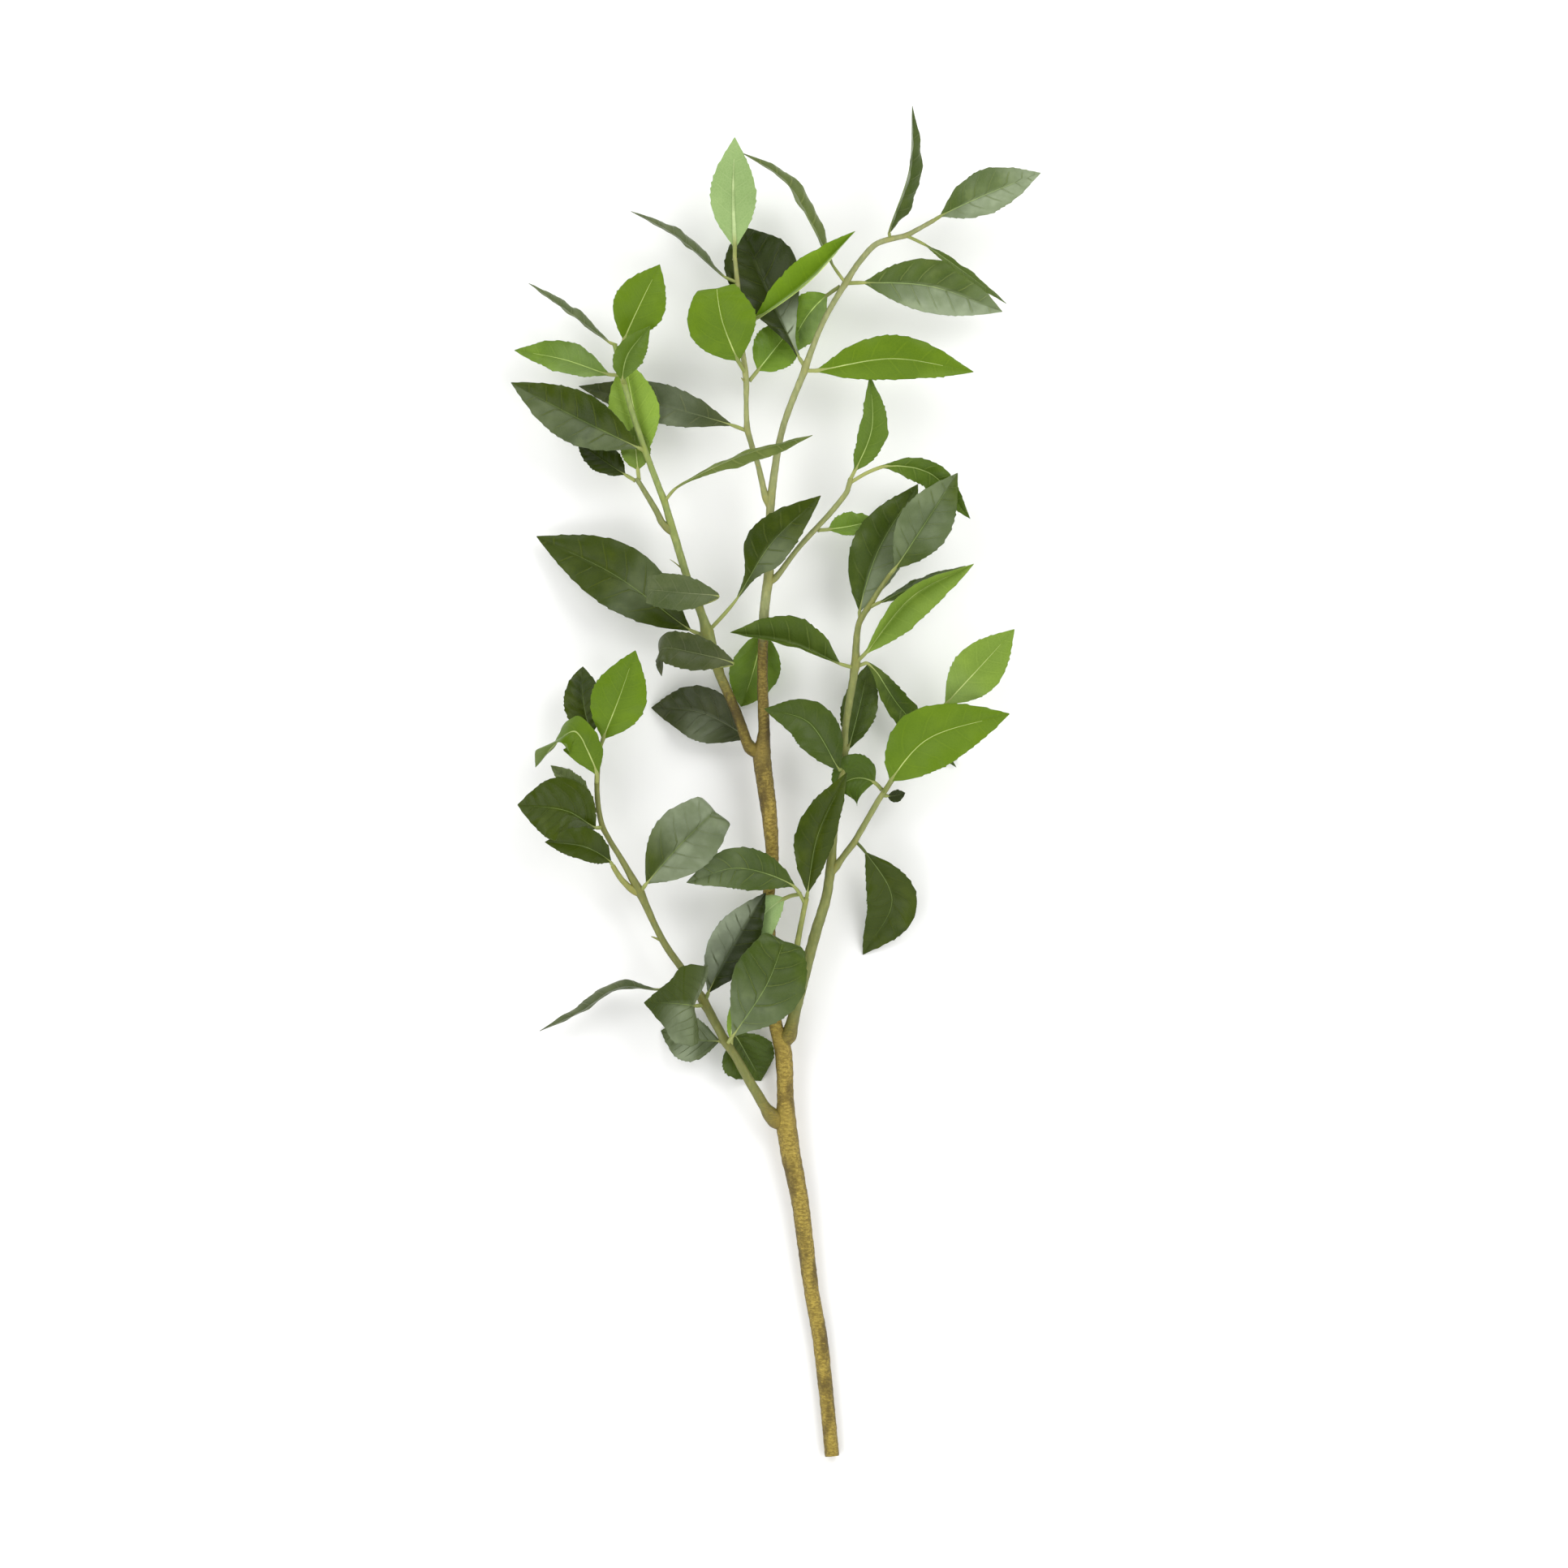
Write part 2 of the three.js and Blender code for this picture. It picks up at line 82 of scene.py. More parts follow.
def looseMesh(nodeName):
    # the points of a solid with equal ones merged, and its triangles
    mesh = frame["nodes"][nodeName].data
    loose = np.empty(len(mesh.vertices) * 3)
    mesh.vertices.foreach_get("co", loose)
    corners = np.empty(len(mesh.loops), dtype=np.int64)
    mesh.loops.foreach_get("vertex_index", corners)
    loose = loose.reshape(-1, 3)
    grid = np.round(loose / 1e-6).astype(np.int64)
    first, same = np.unique(grid, axis=0, return_index=True, return_inverse=True)[1:]
    return loose[first], same.reshape(-1)[corners].reshape(-1, 3)


def ringsOf(nodeName, sides):
    # A lofted solid is read back as its rings. A pole is a point with as many neighbours as a ring has
    # points, and each ring is one step further from the first pole.
    points, triangles = looseMesh(nodeName)
    linked = np.zeros((len(points), len(points)), dtype=bool)
    for a, b in ((0, 1), (1, 2), (2, 0)):
        linked[triangles[:, a], triangles[:, b]] = True
    linked |= linked.T
    poles = np.flatnonzero(linked.sum(axis=1) == sides)
    level = np.full(len(points), -1)
    level[poles[0]] = 0
    while (level < 0).any():
        reached = linked[level == level.max()].any(axis=0) & (level < 0)
        level[reached] = level.max() + 1
    rings = []
    for number in range(1, level.max()):
        members = np.flatnonzero(level == number)
        order = [members[0]]
        while len(order) < sides:
            order.append([m for m in members if linked[order[-1], m] and m not in order][0])
        ring = points[order]
        if rings:
            # turned so that its points lie in line with those of the ring before
            turned = [np.roll(way, k, axis=0) for way in (ring, ring[::-1]) for k in range(sides)]
            before = rings[-1] - rings[-1].mean(axis=0)
            ring = min(turned, key=lambda way: ((way - way.mean(axis=0) - before) ** 2).sum())
        rings.append(ring)
    return points[poles[0]], np.array(rings), points[poles[1]]


def gridFaces(rows, columns, closed):
    # the quads of a grid of rows x columns points; closed joins the last column to the first
    i, j = np.meshgrid(np.arange(rows - 1), np.arange(columns if closed else columns - 1), indexing="ij")
    k = (j + 1) % columns
    corners = [i * columns + j, (i + 1) * columns + j, (i + 1) * columns + k, i * columns + k]
    return np.stack(corners, axis=-1).reshape(-1, 4)


def roundDirections(side, top, turn):
    # the directions cos(turn) sideways plus sin(turn) upward, for each row of a path
    return np.cos(turn)[None, :, None] * side[:, None] + np.sin(turn)[None, :, None] * top[:, None]


def tubeShell(rings, shape, tint, slot=0):
    # A tube of (rows, round, 3) points with a pole in the middle of each end. Shape and tint are one value
    # for the whole tube, or one for each point of the rings, of which the first and last serve the poles.
    rows, around = rings.shape[:2]
    points = np.concatenate([rings.reshape(-1, 3), [rings[0].mean(axis=0)], [rings[-1].mean(axis=0)]])
    j = np.arange(around)
    k = (j + 1) % around
    lastRow = (rows - 1) * around
    nearFan = np.stack([np.full(around, rows * around), j, k], axis=-1)
    farFan = np.stack([np.full(around, rows * around + 1), lastRow + k, lastRow + j], axis=-1)
    held = [np.broadcast_to(np.reshape(values, (-1, 4)), (rows * around, 4)) for values in (shape, tint)]
    shape, tint = (np.concatenate([values, values[:1], values[-1:]]) for values in held)
    return {"points": points, "quads": gridFaces(rows, around, True),
            "fans": np.concatenate([nearFan, farFan]), "slot": slot, "shape": shape, "tint": tint}


def doubleSkin(face, offset):
    # the top and the underside of a sheet, each one offset from its middle, joined around the rim
    rows, columns = face.shape[:2]
    count = rows * columns
    points = np.concatenate([(face + offset).reshape(-1, 3), (face - offset).reshape(-1, 3)])
    top = gridFaces(rows, columns, False)
    number = np.arange(count).reshape(rows, columns)
    rim = np.concatenate([number[0, :-1], number[:-1, -1], number[-1, :0:-1], number[:0:-1, 0]])
    rimNext = np.roll(rim, -1)
    walls = np.stack([rim, rimNext, rimNext + count, rim + count], axis=-1)
    return points, np.concatenate([top, (top + count)[:, ::-1], walls[:, ::-1]])


def turnOutward(points, quads, fans):
    # a closed shell whose enclosed volume comes out negative is inside out
    triangles = np.concatenate([quads[:, [0, 1, 2]], quads[:, [0, 2, 3]], fans])
    a, b, c = (points[triangles[:, k]] for k in range(3))
    if (a * np.cross(b, c)).sum() < 0:
        return quads[:, ::-1], fans[:, ::-1]
    return quads, fans


def writePiece(name, shells, materials):
    # shells: dicts of points, quads, fans, material number, and values held by each point
    points = np.concatenate([shell["points"] for shell in shells])
    quads, fans, quadSlots, fanSlots = [], [], [], []
    start = 0
    for shell in shells:
        shellQuads, shellFans = turnOutward(shell["points"], shell["quads"], shell["fans"])
        quads.append(shellQuads + start)
        fans.append(shellFans + start)
        quadSlots.append(np.full(len(shellQuads), shell["slot"]))
        fanSlots.append(np.full(len(shellFans), shell["slot"]))
        start += len(shell["points"])
    quads, fans = np.concatenate(quads), np.concatenate(fans)
    corners = np.concatenate([quads.reshape(-1), fans.reshape(-1)])
    totals = np.concatenate([np.full(len(quads), 4), np.full(len(fans), 3)])
    mesh = bpy.data.meshes.new(name)
    mesh.vertices.add(len(points))
    mesh.vertices.foreach_set("co", points.reshape(-1))
    mesh.loops.add(len(corners))
    mesh.loops.foreach_set("vertex_index", corners.astype(np.int32))
    mesh.polygons.add(len(totals))
    mesh.polygons.foreach_set("loop_start", (np.cumsum(totals) - totals).astype(np.int32))
    mesh.polygons.foreach_set("material_index", np.concatenate(quadSlots + fanSlots).astype(np.int32))
    mesh.polygons.foreach_set("use_smooth", np.ones(len(totals), dtype=bool))
    for material in materials:
        mesh.materials.append(material)
    for key in ("shape", "tint"):
        values = np.concatenate([shell[key] for shell in shells])
        layer = mesh.attributes.new(key, "FLOAT_COLOR", "POINT")
        layer.data.foreach_set("color", values.reshape(-1))
    mesh.update(calc_edges=True)
    mesh.validate()
    return addObject(name, mesh)


def linear(red, green, blue):
    # a colour as a colour picker shows it, 0 to 255, made into the light values that nodes take
    values = np.array([red, green, blue]) / 255
    return tuple(np.where(values < 0.04045, values / 12.92, ((values + 0.055) / 1.055) ** 2.4)) + (1.0,)


class Wiring:
    # short words for placing nodes in a material or a group
    def __init__(self, tree):
        self.tree = tree

    def feed(self, socket, value):
        if isinstance(value, bpy.types.NodeSocket):
            self.tree.links.new(value, socket)
        else:
            socket.default_value = value

    def add(self, kind, inputs=None, **settings):
        node = self.tree.nodes.new(kind)
        for key, value in settings.items():
            setattr(node, key, value)
        for key, value in (inputs or {}).items():
            self.feed(node.inputs[key], value)
        return node

    def attribute(self, name):
        return self.add("ShaderNodeAttribute", attribute_name=name).outputs

    def calc(self, operation, a, b=0.5, clamp=False):
        return self.add("ShaderNodeMath", {0: a, 1: b}, operation=operation, use_clamp=clamp).outputs[0]

    def times(self, a, b):
        return self.calc("MULTIPLY", a, b)

    def plus(self, a, b):
        return self.calc("ADD", a, b)

    def minus(self, a, b):
        return self.calc("SUBTRACT", a, b)

    def ramp(self, value, low, high, toLow=0.0, toHigh=1.0):
        limits = {"Value": value, "From Min": low, "From Max": high, "To Min": toLow, "To Max": toHigh}
        return self.add("ShaderNodeMapRange", limits, interpolation_type="SMOOTHSTEP").outputs["Result"]

    def noise(self, place, scale, detail=2.0, roughness=0.5):
        values = {"Vector": place, "Scale": scale, "Detail": detail, "Roughness": roughness}
        return self.add("ShaderNodeTexNoise", values).outputs["Fac"]

    def cellEdges(self, place, scale):
        values = {"Vector": place, "Scale": scale}
        return self.add("ShaderNodeTexVoronoi", values, feature="DISTANCE_TO_EDGE").outputs["Distance"]

    def stretched(self, place, scale):
        return self.add("ShaderNodeMapping", {"Vector": place, "Scale": scale}).outputs["Vector"]

    def mix(self, factor, a, b, kind="MIX"):
        node = self.tree.nodes.new("ShaderNodeMix")
        node.data_type = "RGBA"
        node.blend_type = kind
        for socket, value in ((node.inputs["Factor"], factor), (node.inputs[6], a), (node.inputs[7], b)):
            self.feed(socket, value)
        return node.outputs[2]

    def tinted(self, colour, factors):
        return self.mix(1.0, colour, factors, "MULTIPLY")


def newGroup(name, inputs):
    group = bpy.data.node_groups.new(name, "ShaderNodeTree")
    for label, kind, value in inputs:
        socket = group.interface.new_socket(label, in_out="INPUT", socket_type=kind)
        socket.default_value = value
    outputs = {"Color": "NodeSocketColor", "Roughness": "NodeSocketFloat", "Height": "NodeSocketFloat"}
    for label, kind in outputs.items():
        group.interface.new_socket(label, in_out="OUTPUT", socket_type=kind)
    return group, Wiring(group), group.nodes.new("NodeGroupInput").outputs


def closeGroup(group, skin, rough, height):
    made = group.nodes.new("NodeGroupOutput")
    for label, socket in (("Color", skin), ("Roughness", rough), ("Height", height)):
        group.links.new(socket, made.inputs[label])
    return group


def buildLeafSurface():
    # The attribute "tint" holds a leaf's colour and, as its alpha, how strong its painted sheen is: a silvery
    # reflection painted into the colour. The attribute "shape" holds the vein phase, the place across from -1
    # to 1, the vein contrast, and the share from base to tip.
    group, w, given = newGroup("leafSurface", [
        ("Gloss", "NodeSocketFloat", 0.4), ("Painted Sheen", "NodeSocketColor", linear(172, 184, 156)),
        ("Vein Height", "NodeSocketFloat", 0.5), ("Mottle", "NodeSocketFloat", 1.0)])
    shape, tint = w.attribute("shape"), w.attribute("tint")
    phase, across, contrast = w.add("ShaderNodeSeparateColor", {"Color": shape["Color"]}).outputs
    share, base = shape["Alpha"], tint["Color"]
    place = w.add("ShaderNodeTexCoord").outputs["Object"]
    soft = w.noise(place, 55.0, 3.0, 0.55)
    broad = w.noise(place, 20.0, 2.0)
    grain = w.noise(place, 800.0, 2.0)
    # a beat that is 0.5 on a side vein and 0 halfway between two, and wavers a little
    wander = w.times(w.minus(w.noise(place, 140.0, 2.0), 0.5), 0.14)
    beat = w.calc("ABSOLUTE", w.minus(w.calc("FRACT", w.plus(phase, wander)), 0.5))
    fading = w.times(w.ramp(w.calc("ABSOLUTE", across), 0.62, 0.92, 1.0, 0.0), contrast)
    line = w.times(w.ramp(beat, 0.44, 0.492), fading)
    # painted shade beside each side vein, strongest next to the vein and gone halfway between two
    shade = w.times(w.ramp(beat, 0.20, 0.46), fading)
    net = w.ramp(w.cellEdges(place, 560.0), 0.0, 0.18, 1.0, 0.0)
    darker = w.tinted(base, (0.62, 0.68, 0.55, 1))
    lighter = w.tinted(base, (1.42, 1.32, 1.45, 1))
    pale = w.tinted(base, (2.1, 1.8, 2.3, 1))
    skin = w.mix(w.times(w.ramp(broad, 0.34, 0.54, 0.9, 0.0), given["Mottle"]), base, darker)
    skin = w.mix(w.times(w.ramp(soft, 0.48, 0.68, 0.0, 0.8), given["Mottle"]), skin, lighter)
    skin = w.mix(w.times(shade, 0.35), skin, darker)
    skin = w.mix(w.times(line, 0.42), skin, pale)
    skin = w.mix(w.times(net, 0.08), skin, pale)
    # the painted sheen, a silvery reflection painted into the colour, is patchy and thinner along the side
    # veins
    patch = w.ramp(soft, 0.34, 0.66, 0.72, 1.22)
    thinning = w.times(fading, w.ramp(soft, 0.40, 0.62, 0.1, 0.6))
    kept = w.minus(1.0, w.times(w.ramp(beat, 0.40, 0.495), thinning))
    paintedSheen = w.calc("MULTIPLY", w.times(tint["Alpha"], patch), kept, clamp=True)
    skin = w.mix(paintedSheen, skin, given["Painted Sheen"])
    rough = w.plus(given["Gloss"], w.times(w.minus(soft, 0.5), 0.20))
    height = w.plus(w.times(line, given["Vein Height"]), w.times(net, 0.10))
    height = w.plus(height, w.times(grain, 0.10))
    height = w.plus(height, w.times(w.ramp(share, 0.0, 0.3, 0.3, 0.0), soft))
    return closeGroup(group, skin, rough, height)


def buildStemSurface():
    # The attribute "shape" holds the length along the stem in mm, the way round it, the woodiness (1 bark,
    # 0 green) and the nearness of a fork; "tint" holds a multiplier for the whole.
    usual = {"Green": (0.2, 0.25, 0.08, 1), "Joint": (0.3, 0.3, 0.08, 1), "Bark": (0.3, 0.22, 0.06, 1),
             "Dark": (0.1, 0.08, 0.02, 1), "Gold": (0.5, 0.38, 0.08, 1)}
    inputs = [(label, "NodeSocketColor", value) for label, value in usual.items()]
    group, w, given = newGroup("stemSurface", inputs)
    shape, tint = w.attribute("shape"), w.attribute("tint")
    woody = w.add("ShaderNodeSeparateColor", {"Color": shape["Color"]}).outputs[2]
    fork = shape["Alpha"]
    place = w.add("ShaderNodeTexCoord").outputs["Object"]
    drawn = w.stretched(place, (1.0, 0.35, 1.0))
    fleck = w.noise(w.stretched(place, (0.4, 1.0, 1.0)), 800.0, 3.0, 0.65)
    patch = w.noise(drawn, 110.0, 3.0)
    streak = w.noise(drawn, 520.0)
    cells = w.cellEdges(place, 1100.0)
    # bark: gold flecks on brown, dark patches, bright gold specks, gold at the forks, and fine cracks
    bark = w.mix(w.ramp(fleck, 0.40, 0.60), given["Bark"], given["Gold"])
    bark = w.mix(w.ramp(patch, 0.46, 0.66, 0.0, 0.75), bark, given["Dark"])
    bark = w.mix(w.ramp(fleck, 0.62, 0.72, 0.0, 0.55), bark, w.tinted(given["Gold"], (1.6, 1.5, 1.3, 1)))
    bark = w.mix(w.calc("MULTIPLY", fork, w.ramp(patch, 0.40, 0.60), clamp=True), bark, given["Gold"])
    bark = w.mix(w.ramp(cells, 0.0, 0.10, 0.16, 0.0), bark, given["Dark"])
    # green: lighter streaks, joint colour near the forks, and a few gold flecks
    greenLight = w.tinted(given["Green"], (1.28, 1.22, 1.3, 1))
    green = w.mix(w.ramp(streak, 0.40, 0.70), given["Green"], greenLight)
    green = w.mix(w.times(fork, w.ramp(streak, 0.3, 0.6, 0.2, 0.55)), green, given["Joint"])
    green = w.mix(w.ramp(fleck, 0.60, 0.70, 0.0, 0.45), green, given["Gold"])
    skin = w.mix(1.0, w.mix(woody, green, bark), tint["Color"], "MULTIPLY")
    rough = w.plus(0.42, w.times(fleck, 0.25))
    relief = w.plus(w.ramp(cells, 0.0, 0.16, 0.0, 0.5), w.times(fleck, 0.7))
    return closeGroup(group, skin, rough, w.plus(w.times(relief, woody), w.times(streak, 0.3)))


leafSurface = buildLeafSurface()
stemSurface = buildStemSurface()


def surfaceMaterial(name, group, values, bumpMm, coat, specular):
    # values are the group's own inputs
    material = bpy.data.materials.new(name)
    material.use_nodes = True
    w = Wiring(material.node_tree)
    shader = material.node_tree.nodes["Principled BSDF"]
    skin = w.add("ShaderNodeGroup", node_tree=group)
    for key, value in values.items():
        skin.inputs[key].default_value = value
    relief = {"Strength": 1.0, "Distance": bumpMm * mm, "Height": skin.outputs["Height"]}
    bump = w.add("ShaderNodeBump", relief)
    w.feed(shader.inputs["Base Color"], skin.outputs["Color"])
    w.feed(shader.inputs["Roughness"], skin.outputs["Roughness"])
    w.feed(shader.inputs["Normal"], bump.outputs["Normal"])
    shader.inputs["Coat Weight"].default_value = coat
    shader.inputs["Coat Roughness"].default_value = 0.28
    shader.inputs["Specular IOR Level"].default_value = specular
    return material


leafFinish = {  # for each kind of leaf: gloss (low is shinier), vein height, mottling, bump in mm, clear coat
    "leaf_dark": (0.34, 0.60, 1.0, 0.32, 0.03),
    "leaf_green": (0.38, 0.50, 0.7, 0.26, 0.03),
    "leaf_bright": (0.46, 0.35, 0.35, 0.16, 0.02),
    "leaf_pale": (0.50, 0.35, 0.3, 0.16, 0.0),
}
leafTones = {  # how each tone looks in the studio: top side, underside, midrib, and half its midrib in mm
    "deepest": ((56, 66, 24), (80, 92, 46), (84, 98, 50), 0.5),
    "deep": ((70, 84, 34), (88, 104, 56), (116, 136, 72), 0.6),
    "moss": ((78, 95, 44), (100, 118, 68), (134, 156, 88), 0.7),
    "slate": ((78, 87, 54), (92, 100, 70), (112, 122, 82), 0.5),
    "fern": ((96, 115, 58), (112, 130, 76), (166, 188, 118), 0.8),
    "olive": ((108, 123, 64), (116, 130, 78), (168, 184, 114), 0.8),
    "grey": ((94, 106, 68), (100, 110, 80), (124, 134, 96), 0.5),
    "leafy": ((102, 129, 50), (122, 148, 72), (176, 200, 112), 1.2),
    "bright": ((108, 138, 40), (136, 160, 84), (192, 212, 124), 1.6),
    "lime": ((130, 158, 66), (144, 170, 86), (204, 220, 140), 1.3),
    "pale": ((156, 184, 118), (156, 184, 118), (192, 214, 150), 1.4),
}
usualTones = {"leaf_dark": "deep", "leaf_green": "leafy", "leaf_bright": "bright", "leaf_pale": "pale"}
lightShare = 1.30  # how much brighter the studio makes a surface that faces up
glare = 0.014  # the light that the gloss of a leaf adds to its colour, taken off the colours above
stemColours = {"Green": linear(142, 148, 90), "Joint": linear(150, 146, 62), "Bark": linear(134, 114, 42),
               "Dark": linear(86, 70, 24), "Gold": linear(176, 154, 66)}

leafMaterials = {}
for slot, (gloss, veins, mottle, bumpMm, coat) in leafFinish.items():
    values = {"Gloss": gloss, "Vein Height": veins, "Mottle": mottle}
    skinName = slot.replace("_", "") + "Skin"
    leafMaterials[slot] = surfaceMaterial(skinName, leafSurface, values, bumpMm, coat, specular=0.17)
smooth = {"Gloss": 0.46, "Vein Height": 0.0}
stalkMaterial = surfaceMaterial("leafStalk", leafSurface, smooth, bumpMm=0.1, coat=0.05, specular=0.3)
barkMaterial = surfaceMaterial("branchBark", stemSurface, stemColours, bumpMm=0.35, coat=0.0, specular=0.35)
twigMaterial = surfaceMaterial("greenTwig", stemSurface, stemColours, bumpMm=0.2, coat=0.05, specular=0.4)
print("materials made")


stemStyle = {
    "spacingMm": 1.4, "around": 26, "longestRootMm": 26,
    # unevenness: the wavelength in mm and the strength of a slow and of a quick ripple
    "ripples": ((9, 0.045), (3, 0.025)),
    # collars under stalks and side stems: their rise and reach, and the factors of a side stem for both
    "collarRise": 0.20, "collarMm": 3.6, "forkRise": 0.6, "forkReach": 2.0,
    # where a side stem leaves its parent: a flare on every one, and a longer sleeve on these
    "baseFlare": 0.24, "flareMm": 3.5,
    "sleeves": {"lower_left_branch": 0.45, "right_branch": 0.15}, "sleeveMm": 9,
    # the share of the length in bark, and its fade
    "woody": {"main_stem": (0.636, 0.014), "left_branch": (0.20, 0.06), "right_branch": (0.05, 0.05),
              "lower_left_branch": (0.07, 0.06)},
    # where the bark is darker: from and to which share, and how much
    "dusk": {"main_stem": (0.51, 0.64, 0.34), "left_branch": (-0.1, 0.20, 0.22)},
    # painted shade: how much darker the flanks, the sides of a stem as seen from above, are painted, in green
    # wood and on top of that in bark
    "flankShade": (0.30, 0.22),
    # colour multipliers at the foot and at the tip
    "tones": {
        "main_stem": ((1, 1, 1), (0.90, 0.90, 1.08)),
        "left_branch": ((0.62, 0.62, 0.52), (0.80, 0.98, 0.76)),
        "left_fork_twig": ((0.58, 0.60, 0.50), (0.58, 0.62, 0.54)),
        "upper_left_twig": ((0.9, 0.9, 0.95), (0.95, 0.95, 0.95)),
        "middle_right_twig": ((0.85, 0.86, 0.90), (0.86, 0.88, 0.85)),
        "right_branch": ((0.54, 0.56, 0.40), (0.70, 0.72, 0.58)),
        "right_side_twig": ((0.70, 0.72, 0.62), (0.8, 0.82, 0.72)),
        "centre_twig": ((0.80, 0.84, 0.66), (0.84, 0.86, 0.64)),
        "lower_left_branch": ((0.54, 0.53, 0.34), (0.54, 0.55, 0.40)),
        "lower_left_fork_twig": ((0.8, 0.76, 0.55), (0.8, 0.8, 0.6)),
    },
}
stemNames = list(stemStyle["tones"])
slotOf = {part["node"]: part["material_slot"] for part in frame["record"]["subparts"]}
leafNames = [name for name in slotOf if "_leaf_" in name]
stemSides, leafSides = 8, 4  # how many points a ring of a solid stem and of a solid leaf has
bladeFrom = 2  # the ring of a solid leaf where the stalk ends and the blade starts


def stemKnots(name):
    # the middle and the radius of each ring of a solid stem, from the thick end to the thin one
    rings = ringsOf(name, stemSides)[1]
    centres = rings.mean(axis=1)
    radii = np.linalg.norm(rings - centres[:, None], axis=-1).min(axis=1)
    if radii[1] < radii[-2]:
        centres, radii = centres[::-1], radii[::-1]
    return np.column_stack([centres, radii])


stemLines = {name: stemKnots(name) for name in stemNames}


def fineLine(knots, spacing):
    # the places, radii and lengths along a stem at even steps
    steps = np.linalg.norm(np.diff(knots[:, :3], axis=0), axis=1)
    along = np.linspace(0, steps.sum(), max(8, int(steps.sum() / spacing)))
    line = alongKnots(knots, np.interp(along, np.append(0, np.cumsum(steps)), np.arange(len(knots))))
    return line[:, :3], line[:, 3], along


def rootedKnots(name):
    # A side stem starts inside its parent: it is carried back along its own direction to the parent's axis.
    knots = stemLines[name]
    foot, away = knots[0, :3], unit(knots[1, :3] - knots[0, :3])
    gaps = {}
    for other in stemNames:
        centre, radius = fineLine(stemLines[other], 2 * mm)[:2]
        gap = np.linalg.norm(centre - foot, axis=1) - radius
        if other != name and gap.argmin() > 0:
            gaps[other] = gap.min()
    parent = min(gaps, key=gaps.get)
    centre = fineLine(stemLines[parent], 0.5 * mm)[0]
    row = np.linalg.norm(centre - foot, axis=1).argmin()
    sharpness = np.linalg.norm(np.cross(unit(centre[row] - centre[row - 1]), away))
    back = min(np.linalg.norm(centre[row] - foot) / max(sharpness, 0.1), stemStyle["longestRootMm"] * mm)
    root = centre[np.linalg.norm(centre - (foot - away * back), axis=1).argmin()]
    middle = (root + foot) / 2
    thin = knots[0, 3] * 0.8
    return np.vstack([np.append(root, thin), np.append(middle, (thin + knots[0, 3]) / 2), knots])


def leafKnots(name):
    # the spine of a leaf solid and the vectors from it to both edges, ring by ring from stalk to tip
    foot, rings, tip = ringsOf(name, leafSides)
    if np.linalg.norm(foot - rings[0].mean(axis=0)) > np.linalg.norm(tip - rings[-1].mean(axis=0)):
        foot, tip, rings = tip, foot, rings[::-1]
    # the two opposite points that lie further apart are the edges
    spans = np.linalg.norm(rings - np.roll(rings, 2, axis=1), axis=-1)[bladeFrom + 1:-1].sum(axis=0)
    if spans[1] > spans[0]:
        rings = np.roll(rings, -1, axis=1)
    # of the other two, the one nearer to the line between the edges is the midrib, and the other is the keel
    chord = (rings[:, 0] + rings[:, 2]) / 2
    far = np.linalg.norm(rings - chord[:, None], axis=-1)[bladeFrom + 1:-1].sum(axis=0)
    if far[1] > far[3]:
        rings = rings[:, [0, 3, 2, 1]]
    spine = (2 * rings[:, 1] + rings[:, 3]) / 3
    up = unit(rings[:, 1] - rings[:, 3])
    ahead = unit(np.gradient(np.vstack([spine, tip]), axis=0)[:-1])
    if ((rings[:, 0] - rings[:, 2]) * np.cross(up, ahead)).sum() < 0:
        rings = rings[:, [2, 1, 0, 3]]
    left, right = rings[:, 0] - spine, rings[:, 2] - spine
    tipShare = 0.02
    left = np.concatenate([left, left[-1:] * tipShare])
    right = np.concatenate([right, right[-1:] * tipShare])
    return np.stack([np.vstack([spine, tip]), left, right], axis=1)


leafLines = {name: leafKnots(name) for name in leafNames}
feet = {name: line[0, 0] for name, line in leafLines.items()}
feet.update({name: line[0, :3] for name, line in stemLines.items() if name != "main_stem"})
print("solids read back:", len(stemLines), "stems and", len(leafLines), "leaves")


def addPiece(name, shells, materials, node=None):
    piece = writePiece(name, shells, materials)
    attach(piece, "root")
    if node:
        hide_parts(node)
    return piece


def stemGrowth(name, centre, radius, along, outward):
    # How much thicker than its line a stem is at each point: one plus two ripples, plus a bell-shaped collar
    # under each stalk and side stem, on the side that faces it, plus a flare and a sleeve that fade along the
    # stem from where it leaves its parent. Also how near a fork each point is.
    style = stemStyle
    seat = centre[:, None] + outward * radius[:, None, None]
    seed = stemNames.index(name)
    (slowMm, slow), (quickMm, quick) = style["ripples"]
    grow = 1 + slow * ripple(seat / (slowMm * mm), seed) + quick * ripple(seat / (quickMm * mm), seed + 50)
    fork = np.zeros(grow.shape)
    for child, foot in feet.items():
        gap = np.linalg.norm(centre - foot, axis=1) - radius
        if child == name or gap.min() > 1.6 * mm:
            continue
        row = gap.argmin()
        isFork = "_leaf_" not in child
        reach = style["collarMm"] * mm * (style["forkReach"] if isFork else 1.0)
        near = np.exp(-((along - along[row]) / reach) ** 2)[:, None]
        facing = 0.5 + 0.5 * (outward * unit(foot - centre[row])).sum(axis=-1)
        grow += style["collarRise"] * near * facing**2 * (style["forkRise"] if isFork else 1.0)
        fork = np.maximum(fork, near * (0.4 + 0.6 * facing))
    if name != "main_stem":
        start = np.linalg.norm(centre - stemLines[name][0, :3], axis=1).argmin()
        beyond = (along - along[start]) / mm
        flare = style["baseFlare"] * np.exp(-(beyond / style["flareMm"]) ** 2)
        flare = flare + style["sleeves"].get(name, 0.0) * np.exp(-(beyond / style["sleeveMm"]) ** 4)
        grow += (flare * np.exp(-(np.minimum(beyond, 0) / style["sleeveMm"]) ** 2))[:, None]
        fork = np.maximum(fork, np.exp(-np.maximum(along - along[start], 0) / (6 * mm))[:, None])
    return grow, fork


